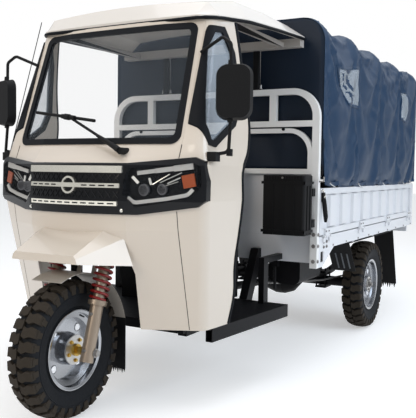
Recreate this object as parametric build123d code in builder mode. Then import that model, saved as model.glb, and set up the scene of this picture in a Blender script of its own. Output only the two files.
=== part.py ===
from build123d import *
import math
import os

os.makedirs("parts", exist_ok=True)

# Cargo motor tricycle with a cab and a covered drop-side bed, in millimetres.
# X runs across with the left side at +X, Y runs rearward, Z up from the road.

# Overall layout
overall_length = 3688
wheelbase = 2300
seat_gap = 0.3

# Wheels, 5.00-12 tyres
tyre_radius = 285
tyre_width = 130
carcass_radius = 270
bead_radius = 152
rim_flange_radius = 166
rim_width = 104
rim_wall = 4
front_axle_radius = 10
rear_axle_radius = 16
running_clearance = 0.05
rear_track = 1156

# Front fork
fork_rake = 17.5
fork_lead = 15
fork_spacing = 250
stem_offset = 45
lower_leg_radius = 27
upper_tube_radius = 19
fork_spring_radius = 40
lower_leg_top = 485
lower_clamp_height = 705
upper_clamp_height = 890
clamp_thickness = 26
stem_radius = 16
head_tube_radius = 30
front_guard_radius = 318
front_guard_width = 152
guard_sheet = 3

# Cab
cab_wall = 12
seam_x = 436
seam_gap = 0.6
cab_back = 660
glass_thickness = 5
seal_width = 26
seal_depth = 20

# Floor and chassis
floor_top = 360
floor_plate = 5
floor_front = 345
floor_rear = 1010
step_height = 60
step_width = 32
tube_wall = 3
rail_spacing = 600
rail_width = 45
rail_height = 70
rail_top = 608

# Bed
bed_front = 1186
bed_length = 2200
bed_width = 1300
bed_floor_top = 686
bed_floor_plate = 4
side_rail_height = 69
side_rail_width = 50
post_bottom = 524
hoop_top = 1458
hoop_radius = 150
hoop_face = 38
hoop_depth = 30
panel_top = 940
panel_thickness = 38
panel_sheet = 3
hinge_radius = 7
hinge_gap = 6
panel_gap = 6

# Tarpaulin
tarp_top = 1826
tarp_low = 958
tarp_radius = 130
tarp_sheet = 5
tarp_half_width = 656
hoop_count = 5
tarp_hoop_radius = 12

# Roof
roof_wall = 20
roof_front_edge = 1664
roof_rear_edge = 1706
roof_tube = 26
pole_radius = 20
pole_spacing = 570

front_axle_y = tyre_radius - overall_length / 2
rear_axle_y = front_axle_y + wheelbase
bed_front_y = front_axle_y + bed_front
bed_rear_y = bed_front_y + bed_length
bed_half = bed_width / 2
rail_x = rail_spacing / 2
cab_bottom = floor_top + seat_gap
cab_top = roof_front_edge - seat_gap
leg_x = fork_spacing / 2
rear_wheel_x = rear_track / 2
rake = math.radians(fork_rake)
steer_direction = (0, math.sin(rake), math.cos(rake))
stem_base_y = front_axle_y - fork_lead + stem_offset * math.cos(rake)
stem_base_z = tyre_radius - stem_offset * math.sin(rake)
panel_bottom = bed_floor_top + panel_gap
clamp_base_z = lower_clamp_height - stem_offset * math.sin(rake)


def aft(distance):
    """Y of a point this far behind the front axle."""
    return front_axle_y + distance


def across(y):
    """Plane across the vehicle at y, drawn as X and Z, facing the front."""
    return Plane(origin=(0, y, 0), x_dir=(1, 0, 0), z_dir=(0, -1, 0))


def along(x):
    """Plane along the vehicle at x, drawn as Y and Z, facing the left side."""
    return Plane.YZ.offset(x)


def leg_y(z):
    """Y of the fork legs' axis at height z."""
    return front_axle_y - fork_lead + (z - tyre_radius) * math.tan(rake)


def stem_y(z):
    """Y of the steering axis at height z."""
    return stem_base_y + (z - stem_base_z) * math.tan(rake)


def raked(x, y, z):
    """Plane square to the steering axis through a point."""
    return Plane(origin=(x, y, z), x_dir=(1, 0, 0), z_dir=steer_direction)


def wheel_plane(x, axle_y):
    """Plane through a wheel's axle, drawn as width and radius."""
    return Plane(origin=(x, axle_y, tyre_radius), x_dir=(1, 0, 0), z_dir=(0, -1, 0))


def wheel_axis(axle_y):
    return Axis((0, axle_y, tyre_radius), (1, 0, 0))


# Wheels

tyre_profile = (
    # across the width, radius
    (-42, bead_radius + 6 + seat_gap),
    (-50, 185),
    (-64, 222),
    (-62, 262),
    (-48, carcass_radius + 8),
    (-30, tyre_radius),
)


def tyre_solid(x, axle_y):
    """One tyre as a ring with rounded shoulders."""
    with BuildSketch(wheel_plane(x, axle_y)) as profile:
        with BuildLine():
            left = [(a, r) for a, r in tyre_profile]
            right = [(-a, r) for a, r in reversed(tyre_profile)]
            Polyline(*left, *right, close=True)
        make_face()
    revolve(profile.sketch, axis=wheel_axis(axle_y))


def rim_solid(x, axle_y, dish, bore, hub_radius, hub_half):
    """One rim with flanges, a well, a disc and a hub."""
    half = rim_width / 2
    with BuildSketch(wheel_plane(x, axle_y)) as profile:
        with BuildLine():
            Polyline(
                (-half, rim_flange_radius),
                (-half + 6, rim_flange_radius),
                (-half + 8, bead_radius + 6),
                (-24, bead_radius + 4),
                (-16, bead_radius - 14),
                (16, bead_radius - 14),
                (24, bead_radius + 4),
                (half - 8, bead_radius + 6),
                (half - 6, rim_flange_radius),
                (half, rim_flange_radius),
                (half, rim_flange_radius - 4),
                (half - 3, bead_radius),
                (26, bead_radius - 2),
                (18, bead_radius - 14 - rim_wall * 2),
                (dish + rim_wall, bead_radius - 14 - rim_wall * 2),
                (dish + rim_wall, hub_radius + 6),
                (hub_half, hub_radius),
                (hub_half, bore),
                (-hub_half, bore),
                (-hub_half, hub_radius),
                (dish - rim_wall, hub_radius + 6),
                (dish - rim_wall, bead_radius - 14 - rim_wall * 2),
                (-18, bead_radius - 14 - rim_wall * 2),
                (-26, bead_radius - 2),
                (-half + 3, bead_radius),
                (-half, rim_flange_radius - 4),
                close=True,
            )
        make_face()
    revolve(profile.sketch, axis=wheel_axis(axle_y))


with BuildPart() as front_tyre:
    tyre_solid(0, front_axle_y)
front_tyre.part.label = "front_tyre"
export_step(front_tyre.part, "parts/front_tyre.step")

with BuildPart() as front_rim:
    rim_solid(0, front_axle_y, -8, front_axle_radius + running_clearance, 62, 44)
front_rim.part.label = "front_rim"
export_step(front_rim.part, "parts/front_rim.step")

for side, name in ((1, "left"), (-1, "right")):
    with BuildPart() as rear_tyre:
        tyre_solid(side * rear_wheel_x, rear_axle_y)
    rear_tyre.part.label = f"rear_tyre_{name}"
    export_step(rear_tyre.part, f"parts/rear_tyre_{name}.step")

    with BuildPart() as rear_rim:
        bore = rear_axle_radius + running_clearance
        rim_solid(side * rear_wheel_x, rear_axle_y, side * 4, bore, 50, 36)
    rear_rim.part.label = f"rear_rim_{name}"
    export_step(rear_rim.part, f"parts/rear_rim_{name}.step")

# Front fork, springs, mudguard and handlebar

with BuildPart() as fork:
    for x in (-leg_x, leg_x):
        foot = tyre_radius - 24
        lower_length = (lower_leg_top - foot) / math.cos(rake)
        upper_length = (upper_clamp_height + clamp_thickness - lower_leg_top) / math.cos(rake)
        with BuildSketch(raked(x, leg_y(foot), foot)):
            Circle(lower_leg_radius)
        extrude(amount=lower_length)
        with BuildSketch(raked(x, leg_y(lower_leg_top), lower_leg_top)):
            Circle(upper_tube_radius)
        extrude(amount=upper_length)
        with BuildSketch(raked(x, leg_y(lower_leg_top), lower_leg_top)):
            Circle(lower_leg_radius + 11)
        extrude(amount=-16)
    with BuildSketch(along(-leg_x)):
        with Locations((front_axle_y, tyre_radius)):
            Circle(front_axle_radius)
    extrude(amount=fork_spacing)
    for height in (lower_clamp_height, upper_clamp_height):
        with BuildSketch(raked(0, leg_y(height), height)) as clamp_plate:
            with Locations((-leg_x, 0), (leg_x, 0)):
                Circle(upper_tube_radius + 12)
            Rectangle(fork_spacing, 2 * upper_tube_radius)
            with Locations((0, stem_offset / 2)):
                Rectangle(110, stem_offset + 36)
        extrude(amount=clamp_thickness)
    with BuildSketch(raked(0, stem_y(lower_clamp_height), lower_clamp_height)):
        Circle(stem_radius)
    extrude(amount=(upper_clamp_height - lower_clamp_height) / math.cos(rake) + clamp_thickness)
fork.part.label = "fork"
export_step(fork.part, "parts/fork.step")

with BuildPart() as fork_springs:
    for x in (-leg_x, leg_x):
        z = lower_leg_top + seat_gap
        length = (lower_clamp_height - z) / math.cos(rake) - 12
        with BuildSketch(raked(x, leg_y(z), z)):
            Circle(fork_spring_radius)
            Circle(upper_tube_radius + 6, mode=Mode.SUBTRACT)
        extrude(amount=length)
fork_springs.part.label = "fork_springs"
export_step(fork_springs.part, "parts/fork_springs.step")

with BuildPart() as front_mudguard:
    outer = front_guard_radius
    guard_start = 12
    guard_end = 112
    with BuildSketch(along(-front_guard_width / 2)):
        with BuildLine():
            for radius in (outer, outer - guard_sheet):
                CenterArc((front_axle_y, tyre_radius), radius, guard_start, guard_end - guard_start)
            for angle in (guard_start, guard_end):
                direction = Vector(math.cos(math.radians(angle)), math.sin(math.radians(angle)))
                hub = Vector(front_axle_y, tyre_radius)
                Line(hub + direction * outer, hub + direction * (outer - guard_sheet))
        make_face()
    extrude(amount=front_guard_width)
    # Flap below the guard's rear end
    flap_top = tyre_radius + outer * math.sin(math.radians(guard_start))
    flap_y = front_axle_y + outer * math.cos(math.radians(guard_start))
    with BuildSketch(across(flap_y - guard_sheet)):
        with Locations((0, (flap_top + 132) / 2)):
            Rectangle(front_guard_width, flap_top - 132)
    extrude(amount=-guard_sheet)
    # Stays from the guard to the clamp
    stay_start = 572
    for x in (-40, 40):
        with BuildSketch(raked(x, stem_y(stay_start), stay_start)):
            Rectangle(20, 8)
        extrude(amount=(clamp_base_z - stay_start) / math.cos(rake) - seat_gap)
front_mudguard.part.label = "front_mudguard"
export_step(front_mudguard.part, "parts/front_mudguard.step")

bar_radius = 11
grip_radius = 16
riser_x = 45
riser_height = 96
bar_base = upper_clamp_height + 30
with BuildPart() as handlebar:
    top_y = stem_y(bar_base)
    with BuildLine() as bar_line:
        FilletPolyline(
            (-360, top_y + 185, bar_base + 92),
            (-230, top_y + 150, bar_base + 92),
            (-110, top_y + 20, bar_base + 62),
            (110, top_y + 20, bar_base + 62),
            (230, top_y + 150, bar_base + 92),
            (360, top_y + 185, bar_base + 92),
            radius=40,
        )
    with BuildSketch(Plane(origin=bar_line.line @ 0, z_dir=bar_line.line % 0)):
        Circle(bar_radius)
    sweep(path=bar_line.line)
    with BuildSketch(Plane(origin=bar_line.line @ 0, z_dir=bar_line.line % 0)):
        Circle(grip_radius)
    extrude(amount=120)
    with BuildSketch(Plane(origin=bar_line.line @ 1, z_dir=bar_line.line % 1)):
        Circle(grip_radius)
    extrude(amount=-120)
    # Risers up from the fork's upper clamp
    clamp_top = raked(0, leg_y(upper_clamp_height), upper_clamp_height).offset(clamp_thickness + seat_gap)
    with BuildSketch(clamp_top):
        with Locations((-riser_x, stem_offset), (riser_x, stem_offset)):
            Rectangle(26, 34)
    extrude(amount=riser_height)
handlebar.part.label = "handlebar"
export_step(handlebar.part, "parts/handlebar.step")

# Cab shell, as sections from the bottom edge to the roof

cab_rows = (
    # height, centre y, knee x, knee y, corner x, corner y, side x at 500 behind the axle
    (cab_bottom, 96, 250, 172, 495, 289, 516),
    (780, 22, 250, 66, 536, 213, 550),
    (900, 20, 250, 62, 548, 192, 560),
    (1045, 32, 250, 72, 548, 196, 560),
    (1128, 128, 250, 138, 525, 206, 552),
    (cab_top, 336, 250, 340, 455, 374, 500),
)
corner_radius = 55


def fillet_points(before, corner, after, radius):
    """Start, middle and end of an arc that rounds a corner."""
    corner = Vector(*corner)
    to_before = (Vector(*before) - corner).normalized()
    to_after = (Vector(*after) - corner).normalized()
    half_angle = math.radians(to_before.get_angle(to_after)) / 2
    reach = radius / math.tan(half_angle)
    bisector = (to_before + to_after).normalized()
    middle = corner + bisector * (radius / math.sin(half_angle) - radius)
    return corner + to_before * reach, middle, corner + to_after * reach


def cab_loft(grow, extend=0):
    """Solid through the cab's sections, moved outward by grow."""
    last = len(cab_rows) - 1
    sections = []
    for index, (z, yc, xk, yk, xs, ys, xd) in enumerate(cab_rows):
        level = z + (extend if index == last else -extend if index == 0 else 0)
        slope = (xd - xs) / (500 - ys)
        back_y = cab_back + 2 * grow
        knee = (xk + grow * 0.2, aft(yk - grow))
        corner = (xs + grow, aft(ys - grow))
        back = (xs + slope * (back_y - ys) + grow, aft(back_y))
        start, middle, end = fillet_points(knee, corner, back, corner_radius)
        with BuildSketch(Plane.XY.offset(level)) as section:
            with BuildLine():
                ThreePointArc((-knee[0], knee[1]), (0, aft(yc - grow)), knee)
                for s in (1, -1):
                    Line((s * knee[0], knee[1]), (s * start.X, start.Y))
                    ThreePointArc((s * start.X, start.Y), (s * middle.X, middle.Y), (s * end.X, end.Y))
                    Line((s * end.X, end.Y), (s * back[0], back[1]))
                Line((-back[0], back[1]), back)
            make_face()
        sections.append(section.sketch)
    loft(sections, ruled=True)


with BuildPart() as cab_outside:
    cab_loft(0)
with BuildPart() as cab_inside:
    cab_loft(-cab_wall, extend=2)

door_edge = (
    # behind the axle, height
    (464, cab_bottom - 10),
    (496, 490),
    (468, 620),
    (490, 770),
    (496, 893),
    (486, 1035),
    (545, 1100),
    (566, 1217),
    (530, 1421),
    (512, 1700),
)
screen_low = 1130
screen_high = 1647
screen_low_x = 428
screen_high_x = 409
quarter_inner_x = 445
quarter_outline = (
    # behind the axle, height
    (238, 1128),
    (215, 1215),
    (245, 1330),
    (312, 1550),
    (368, 1632),
    (440, 1634),
    (483, 1530),
    (498, 1305),
    (448, 1215),
    (285, 1120),
)
lamp_outline = (
    # half width, height
    (262, 1030),
    (500, 1056),
    (528, 1040),
    (534, 965),
    (500, 915),
    (290, 876),
    (244, 925),
    (244, 985),
)
arch_outline = (
    # half width, height
    (252, cab_bottom - 10),
    (262, 600),
    (240, 690),
    (160, 764),
)


def door_prism():
    """Everything behind the door's front edge."""
    with BuildSketch(Plane.YZ) as doorway:
        with BuildLine():
            edge = [(aft(y), z) for y, z in door_edge]
            Polyline(*edge, (aft(900), 1700), (aft(900), cab_bottom - 10), close=True)
        make_face()
    extrude(doorway.sketch, amount=800, both=True, mode=Mode.SUBTRACT)


def screen_prism(inset, mode):
    """Windscreen opening seen from the front, with its outline moved inward."""
    low_x = screen_low_x - inset
    high_x = screen_high_x - inset
    with BuildSketch(across(aft(-50))) as screen:
        with BuildLine():
            Polyline(
                (-low_x, screen_low + inset),
                (low_x, screen_low + inset),
                (high_x, screen_high - inset),
                (-high_x, screen_high - inset),
                close=True,
            )
        make_face()
        fillet(screen.vertices(), radius=40 - inset * 0.5)
    extrude(screen.sketch, amount=-600, mode=mode)


def quarter_prism(inset, mode):
    """Quarter window openings seen from the side."""
    with BuildSketch(Plane.YZ) as quarter:
        with BuildLine():
            Polyline(*[(aft(y), z) for y, z in quarter_outline], close=True)
        make_face()
        if inset:
            offset(amount=-inset, mode=Mode.REPLACE)
    prism = extrude(quarter.sketch, amount=700, both=True, mode=Mode.PRIVATE)
    with BuildPart(mode=Mode.PRIVATE) as pillars:
        with BuildSketch(Plane.XY.offset(cab_bottom)):
            Rectangle(2 * quarter_inner_x, 2 * overall_length)
        extrude(amount=2000)
    add(prism - pillars.part, mode=mode)


def lamp_prism(side, inset, mode):
    """One headlamp's outline seen from the front, left at side 1."""
    with BuildSketch(across(aft(-100)), mode=Mode.PRIVATE) as lamp:
        with BuildLine():
            Polyline(*[(side * x, z) for x, z in lamp_outline], close=True)
        make_face()
        if inset:
            offset(amount=-inset, mode=Mode.REPLACE)
    extrude(lamp.sketch, amount=-400, mode=mode)


with BuildPart() as cab_shell:
    add(cab_outside.part)
    add(cab_inside.part, mode=Mode.SUBTRACT)
    door_prism()
    screen_prism(seal_width / 2, Mode.SUBTRACT)
    quarter_prism(seal_width / 2, Mode.SUBTRACT)
    # Wheel arch, open up into the visor
    with BuildSketch(across(aft(-100))):
        with BuildLine():
            half = [(x, z) for x, z in arch_outline]
            Polyline(*half, *[(-x, z) for x, z in reversed(half)], close=True)
        make_face()
    extrude(amount=-500, mode=Mode.SUBTRACT)
    for side in (1, -1):
        lamp_prism(side, 0, Mode.SUBTRACT)

with BuildPart() as cab_front_panel:
    add(cab_shell.part)
    with BuildSketch(Plane.XY.offset(cab_bottom - 50)):
        Rectangle(2 * seam_x, 2 * overall_length)
    extrude(amount=1700, mode=Mode.INTERSECT)
cab_front_panel.part.label = "cab_front_panel"
export_step(cab_front_panel.part, "parts/cab_front_panel.step")

for side, name in ((1, "left"), (-1, "right")):
    with BuildPart() as cab_corner_panel:
        add(cab_shell.part)
        with BuildSketch(Plane.XY.offset(cab_bottom - 50)):
            with Locations((side * (seam_x + seam_gap + 200), 0)):
                Rectangle(400, 2 * overall_length)
        extrude(amount=1700, mode=Mode.INTERSECT)
    cab_corner_panel.part.label = f"cab_corner_panel_{name}"
    export_step(cab_corner_panel.part, f"parts/cab_corner_panel_{name}.step")

with BuildPart() as glass_outside:
    cab_loft(-3)
with BuildPart() as glass_inside:
    cab_loft(-3 - glass_thickness, extend=2)
with BuildPart() as seal_outside:
    cab_loft(4)
with BuildPart() as seal_inside:
    cab_loft(4 - seal_depth, extend=2)

glass_inset = seal_width / 2 + 2
with BuildPart() as windscreen_glass:
    add(glass_outside.part)
    add(glass_inside.part, mode=Mode.SUBTRACT)
    screen_prism(glass_inset, Mode.INTERSECT)
windscreen_glass.part.label = "windscreen_glass"
export_step(windscreen_glass.part, "parts/windscreen_glass.step")

with BuildPart() as quarter_windows:
    add(glass_outside.part)
    add(glass_inside.part, mode=Mode.SUBTRACT)
    quarter_prism(glass_inset, Mode.INTERSECT)
quarter_windows.part.label = "quarter_windows"
export_step(quarter_windows.part, "parts/quarter_windows.step")

with BuildPart() as window_seals:
    for prism in (screen_prism, quarter_prism):
        with BuildPart(mode=Mode.PRIVATE) as ring:
            add(seal_outside.part)
            add(seal_inside.part, mode=Mode.SUBTRACT)
            prism(0, Mode.INTERSECT)
            add(cab_shell.part, mode=Mode.SUBTRACT)
            prism(seal_width, Mode.SUBTRACT)
            add(windscreen_glass.part, mode=Mode.SUBTRACT)
            add(quarter_windows.part, mode=Mode.SUBTRACT)
        add(ring.part)
window_seals.part.label = "window_seals"
export_step(window_seals.part, "parts/window_seals.step")

# Grille band, chrome bars and headlamps, following the cab's front

band_outline = (
    # half width, height
    (255, 1052),
    (505, 1078),
    (540, 1062),
    (549, 985),
    (549, 905),
    (520, 880),
    (300, 846),
)
bar_rows = (
    # lower edge, upper edge, half width
    (880, 898, 225),
    (952, 970, 232),
    (1012, 1040, 240),
)
badge_height = 961
badge_radius = 36
band_proud = 10
lamp_depth = 40


with BuildPart() as band_outside:
    cab_loft(band_proud)
with BuildPart() as bars_outside:
    cab_loft(band_proud + 8)
with BuildPart() as lamp_inside:
    cab_loft(-lamp_depth, extend=2)

with BuildPart() as grille_panel:
    add(band_outside.part)
    with BuildSketch(across(aft(-100))):
        with BuildLine():
            Polyline(*band_outline, *[(-x, z) for x, z in reversed(band_outline)], close=True)
        make_face()
    extrude(amount=-400, mode=Mode.INTERSECT)
    add(cab_outside.part, mode=Mode.SUBTRACT)
    for side in (1, -1):
        lamp_prism(side, 0, Mode.SUBTRACT)
grille_panel.part.label = "grille_panel"
export_step(grille_panel.part, "parts/grille_panel.step")

with BuildPart() as grille_bars:
    add(bars_outside.part)
    with BuildPart(mode=Mode.PRIVATE) as bar_prisms:
        for low, high, half in bar_rows:
            with BuildSketch(across(aft(-100))):
                with Locations((0, (low + high) / 2)):
                    Rectangle(2 * half, high - low)
            extrude(amount=-400)
        with BuildSketch(across(aft(-100))):
            with Locations((0, badge_height)):
                Circle(badge_radius)
        extrude(amount=-400)
        with BuildSketch(across(aft(-100))):
            with Locations((0, badge_height)):
                Circle(badge_radius - 8)
                Rectangle(2 * badge_radius, 18, mode=Mode.SUBTRACT)
        extrude(amount=-400, mode=Mode.SUBTRACT)
    add(bar_prisms.part, mode=Mode.INTERSECT)
    add(band_outside.part, mode=Mode.SUBTRACT)
grille_bars.part.label = "grille_bars"
export_step(grille_bars.part, "parts/grille_bars.step")

with BuildPart() as headlamps:
    for side in (1, -1):
        with BuildPart(mode=Mode.PRIVATE) as lamp_body:
            lamp_prism(side, seat_gap, Mode.ADD)
            add(band_outside.part, mode=Mode.INTERSECT)
            add(lamp_inside.part, mode=Mode.SUBTRACT)
        add(lamp_body.part)
headlamps.part.label = "headlamps"
export_step(headlamps.part, "parts/headlamps.step")

# Visor over the front wheel

visor_rows = (
    # distance behind the axle, then half width and height of foot, side and top
    (72, 282, 640, 236, 748, 160, 792),
    (-137, 168, 660, 162, 680, 151, 692),
)
visor_wall = 6

with BuildPart() as front_visor:
    for shrink, mode in ((0, Mode.ADD), (visor_wall, Mode.SUBTRACT)):
        sections = []
        for y, foot_x, foot_z, side_x, side_z, top_x, top_z in visor_rows:
            level = y + shrink if y < 0 else y + 2 * shrink
            with BuildSketch(across(aft(level)), mode=Mode.PRIVATE) as section:
                with BuildLine():
                    half = (
                        (foot_x - shrink, foot_z - 3 * shrink),
                        (side_x - shrink, side_z - shrink),
                        (top_x - shrink, top_z - shrink),
                    )
                    Polyline(*half, *[(-x, z) for x, z in reversed(half)], close=True)
                make_face()
            sections.append(section.sketch)
        loft(sections, ruled=True, mode=mode)
    add(cab_outside.part, mode=Mode.SUBTRACT)
front_visor.part.label = "front_visor"
export_step(front_visor.part, "parts/front_visor.step")

# Mirrors, wiper and antenna

mirror_x = 612
mirror_y = 294
mirror_z = 1339
mirror_width = 150
mirror_height = 224
mirror_depth = 40
mirror_yaw = 20
arm_radius = 7

with BuildPart() as mirrors:
    for side in (1, -1):
        turn = math.radians(mirror_yaw)
        face = Plane(
            origin=(side * mirror_x, aft(mirror_y), mirror_z),
            x_dir=(math.cos(turn), side * math.sin(turn), 0),
            z_dir=(side * math.sin(turn), -math.cos(turn), 0),
        )
        with BuildSketch(face):
            RectangleRounded(mirror_width, mirror_height, 48)
        extrude(amount=mirror_depth, taper=12)
        for points in (
            # lower arm, then upper arm
            ((515, 215, 1082), (606, 262, 1100), (606, 276, 1235)),
            ((446, 314, 1512), (560, 286, 1560), (604, 276, 1530), (606, 276, 1440)),
        ):
            path = [(side * x, aft(y), z) for x, y, z in points]
            with BuildLine(mode=Mode.PRIVATE) as arm:
                FilletPolyline(*path, radius=22)
            with BuildSketch(Plane(origin=arm.line @ 0, z_dir=arm.line % 0), mode=Mode.PRIVATE) as tube:
                Circle(arm_radius)
            sweep(tube.sketch, path=arm.line)
    add(cab_outside.part, mode=Mode.SUBTRACT)
    add(window_seals.part, mode=Mode.SUBTRACT)
mirrors.part.label = "mirrors"
export_step(mirrors.part, "parts/mirrors.step")


def screen_y(z):
    """Y of the windscreen's outer face on the centre line."""
    low, high = cab_rows[-2], cab_rows[-1]
    return aft(low[1] + (z - low[0]) * (high[1] - low[1]) / (high[0] - low[0]))


wiper_stand_off = 14
wiper_pivot = Vector(215, aft(80), 1100)
with BuildPart() as wiper:
    blade_left = Vector(-319, screen_y(1276) - wiper_stand_off, 1276)
    blade_right = Vector(22, screen_y(1230) - wiper_stand_off, 1230)
    arm_end = blade_left + (blade_right - blade_left) * 0.58
    for start, end, radius in ((wiper_pivot, arm_end, 6), (blade_left, blade_right, 7)):
        with BuildSketch(Plane(origin=start, z_dir=end - start)):
            Circle(radius)
        extrude(amount=(end - start).length)
    with BuildSketch(across(wiper_pivot.Y - 10)):
        with Locations((wiper_pivot.X, wiper_pivot.Z)):
            Circle(14)
    extrude(amount=-60)
    add(cab_outside.part, mode=Mode.SUBTRACT)
wiper.part.label = "wiper"
export_step(wiper.part, "parts/wiper.step")

with BuildPart() as antenna:
    foot = Vector(-566, aft(250), 1096)
    tip = Vector(-520, aft(420), 1742)
    with BuildSketch(Plane(origin=foot, z_dir=tip - foot)):
        Circle(2)
    extrude(amount=(tip - foot).length)
    # Foot on the cab's corner
    anchor = Vector(-520, aft(262), 1090)
    with BuildSketch(Plane(origin=anchor, z_dir=foot - anchor)):
        Circle(8)
    extrude(amount=(foot - anchor).length + 6)
    add(cab_outside.part, mode=Mode.SUBTRACT)
    add(mirrors.part, mode=Mode.SUBTRACT)
antenna.part.label = "antenna"
export_step(antenna.part, "parts/antenna.step")

# Roof canopy and its frame

roof_rows = (
    # distance behind the axle, half width, edge height, shoulder x, shoulder height, crown
    (345, 425, roof_front_edge, 395, roof_front_edge + 12, roof_front_edge + 18),
    (405, 480, 1668, 425, 1738, 1758),
    (600, 528, 1682, 440, 1783, 1808),
    (900, 550, 1695, 450, 1790, 1814),
    (1182, 560, roof_rear_edge, 460, 1782, 1804),
)


def roof_loft(drop, mode):
    """Solid through the roof's sections, lowered and narrowed by drop."""
    sections = []
    for y, half, edge, shoulder, shoulder_z, crown in roof_rows:
        with BuildSketch(across(aft(y)), mode=Mode.PRIVATE) as section:
            with BuildLine():
                Line((-(half - drop), edge - drop), (half - drop, edge - drop))
                Line((half - drop, edge - drop), (half - drop, edge + 10 - drop))
                Line((half - drop, edge + 10 - drop), (shoulder, shoulder_z - drop))
                ThreePointArc((shoulder, shoulder_z - drop), (0, crown - drop), (-shoulder, shoulder_z - drop))
                Line((-shoulder, shoulder_z - drop), (-(half - drop), edge + 10 - drop))
                Line((-(half - drop), edge + 10 - drop), (-(half - drop), edge - drop))
            make_face()
        sections.append(section.sketch)
    loft(sections, ruled=True, mode=mode)


with BuildPart() as roof_canopy:
    roof_loft(0, Mode.ADD)
    roof_loft(roof_wall, Mode.SUBTRACT)
roof_canopy.part.label = "roof_canopy"
export_step(roof_canopy.part, "parts/roof_canopy.step")

with BuildPart() as roof_frame:
    # Poles up from the bed's hoop to a bar under the canopy's rear edge
    for x in (-pole_spacing / 2, pole_spacing / 2):
        with BuildSketch(Plane.XY.offset(hoop_top + seat_gap)):
            with Locations((x, bed_front_y + hoop_depth / 2)):
                RectangleRounded(38, 28, 8)
        extrude(amount=roof_rear_edge - seat_gap - hoop_top - seat_gap)
    with BuildSketch(across(aft(1150))):
        with Locations((0, (cab_top + roof_rear_edge) / 2)):
            Rectangle(1100, roof_rear_edge - cab_top - 2 * seat_gap)
    extrude(amount=-(bed_front_y + hoop_depth / 2 - aft(1150)))
    with BuildSketch(Plane.XY.offset(cab_top + seat_gap)):
        for x in (-448, 448):
            with Locations((x, aft(800))):
                Rectangle(roof_tube, 740)
        with Locations((0, aft(443))):
            Rectangle(896, roof_tube)
    extrude(amount=roof_tube)
    add(roof_canopy.part, mode=Mode.SUBTRACT)
roof_frame.part.label = "roof_frame"
export_step(roof_frame.part, "parts/roof_frame.step")

# Chassis frame with its steering head

rail_path = (
    # distance behind the axle, height
    (430, floor_top - floor_plate - rail_height),
    (1080, floor_top - floor_plate - rail_height),
    (1215, rail_top - rail_height),
    (3330, rail_top - rail_height),
    (3330, rail_top),
    (1180, rail_top),
    (1045, floor_top - floor_plate),
    (430, floor_top - floor_plate),
)
low_rail_z = floor_top - floor_plate - rail_height / 2
high_rail_z = rail_top - rail_height / 2
cross_member_rows = (
    # distance behind the axle, height
    (452, low_rail_z),
    (740, low_rail_z),
    (1290, high_rail_z),
    (1840, high_rail_z),
    (2720, high_rail_z),
    (3308, high_rail_z),
)
clamp_plane = raked(0, leg_y(lower_clamp_height), lower_clamp_height)
clamp_pitch = (upper_clamp_height - lower_clamp_height) / math.cos(rake)
head_play = 1
portal_y = aft(424)
portal_height = 790

with BuildPart() as chassis_frame:
    for x in (-rail_x - rail_width / 2, rail_x - rail_width / 2):
        with BuildSketch(along(x)):
            with BuildLine():
                Polyline(*[(aft(y), z) for y, z in rail_path], close=True)
            make_face()
        extrude(amount=rail_width)
    for y, z in cross_member_rows:
        with BuildSketch(along(-rail_x)):
            with Locations((aft(y), z)):
                Rectangle(44, 54)
        extrude(amount=rail_spacing)
    # Portal that carries the steering head
    with BuildSketch(across(portal_y - 20)):
        with Locations((0, (floor_top + portal_height) / 2)):
            Rectangle(rail_spacing + 40, portal_height - floor_top + 120)
            Rectangle(rail_spacing - 40, portal_height - floor_top + 40, mode=Mode.SUBTRACT)
    extrude(amount=-40)
    head_start = clamp_plane.offset(clamp_thickness + head_play)
    head_length = clamp_pitch - clamp_thickness - 2 * head_play
    with BuildSketch(head_start):
        with Locations((0, stem_offset)):
            Circle(head_tube_radius)
    extrude(amount=head_length)
    with BuildSketch(along(-25)):
        with BuildLine():
            Polyline(
                (stem_y(760) + 10, 745),
                (portal_y, 770),
                (portal_y, 830),
                (stem_y(860) + 10, 858),
                close=True,
            )
        make_face()
    extrude(amount=50)
    with BuildSketch(head_start):
        with Locations((0, stem_offset)):
            Circle(stem_radius + running_clearance)
    extrude(amount=head_length, mode=Mode.SUBTRACT)
chassis_frame.part.label = "chassis_frame"
export_step(chassis_frame.part, "parts/chassis_frame.step")

# Cab floor with its step rails

step_front_x = 499
step_rear_x = 570
upright_x = 445
with BuildPart() as floor_pan:
    with BuildSketch(Plane.XY.offset(floor_top - floor_plate)):
        with BuildLine():
            Polyline(
                (-step_front_x + 4, aft(floor_front)),
                (step_front_x - 4, aft(floor_front)),
                (step_rear_x - 4, aft(floor_rear)),
                (-step_rear_x + 4, aft(floor_rear)),
                close=True,
            )
        make_face()
        with Locations((0, aft(floor_rear - 105))):
            Rectangle(380, 210, mode=Mode.SUBTRACT)
        with Locations((-rail_x, portal_y), (rail_x, portal_y)):
            Rectangle(40 + 2 * seat_gap, 40 + 2 * seat_gap, mode=Mode.SUBTRACT)
    extrude(amount=floor_plate)
    run = Vector(step_rear_x - step_front_x, floor_rear - floor_front, 0)
    for side in (1, -1):
        start = Vector(side * (step_front_x - step_width / 2), aft(floor_front), floor_top - step_height / 2)
        with BuildSketch(Plane(origin=start, x_dir=(1, 0, 0), z_dir=(0, 1, 0))) as tube:
            Rectangle(step_width, step_height)
            Rectangle(step_width - 2 * tube_wall, step_height - 2 * tube_wall, mode=Mode.SUBTRACT)
        extrude(amount=floor_rear - floor_front, dir=(side * run.X, run.Y, 0))
        # Upright from the floor to the bed
        with BuildSketch(Plane.XY.offset(floor_top)):
            with Locations((side * upright_x, aft(978))):
                Rectangle(30, 52)
        extrude(amount=232)
        with BuildSketch(across(aft(1000))):
            with Locations((side * upright_x, 577)):
                Rectangle(30, 30)
        extrude(amount=-186 + seat_gap)
floor_pan.part.label = "floor_pan"
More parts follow.
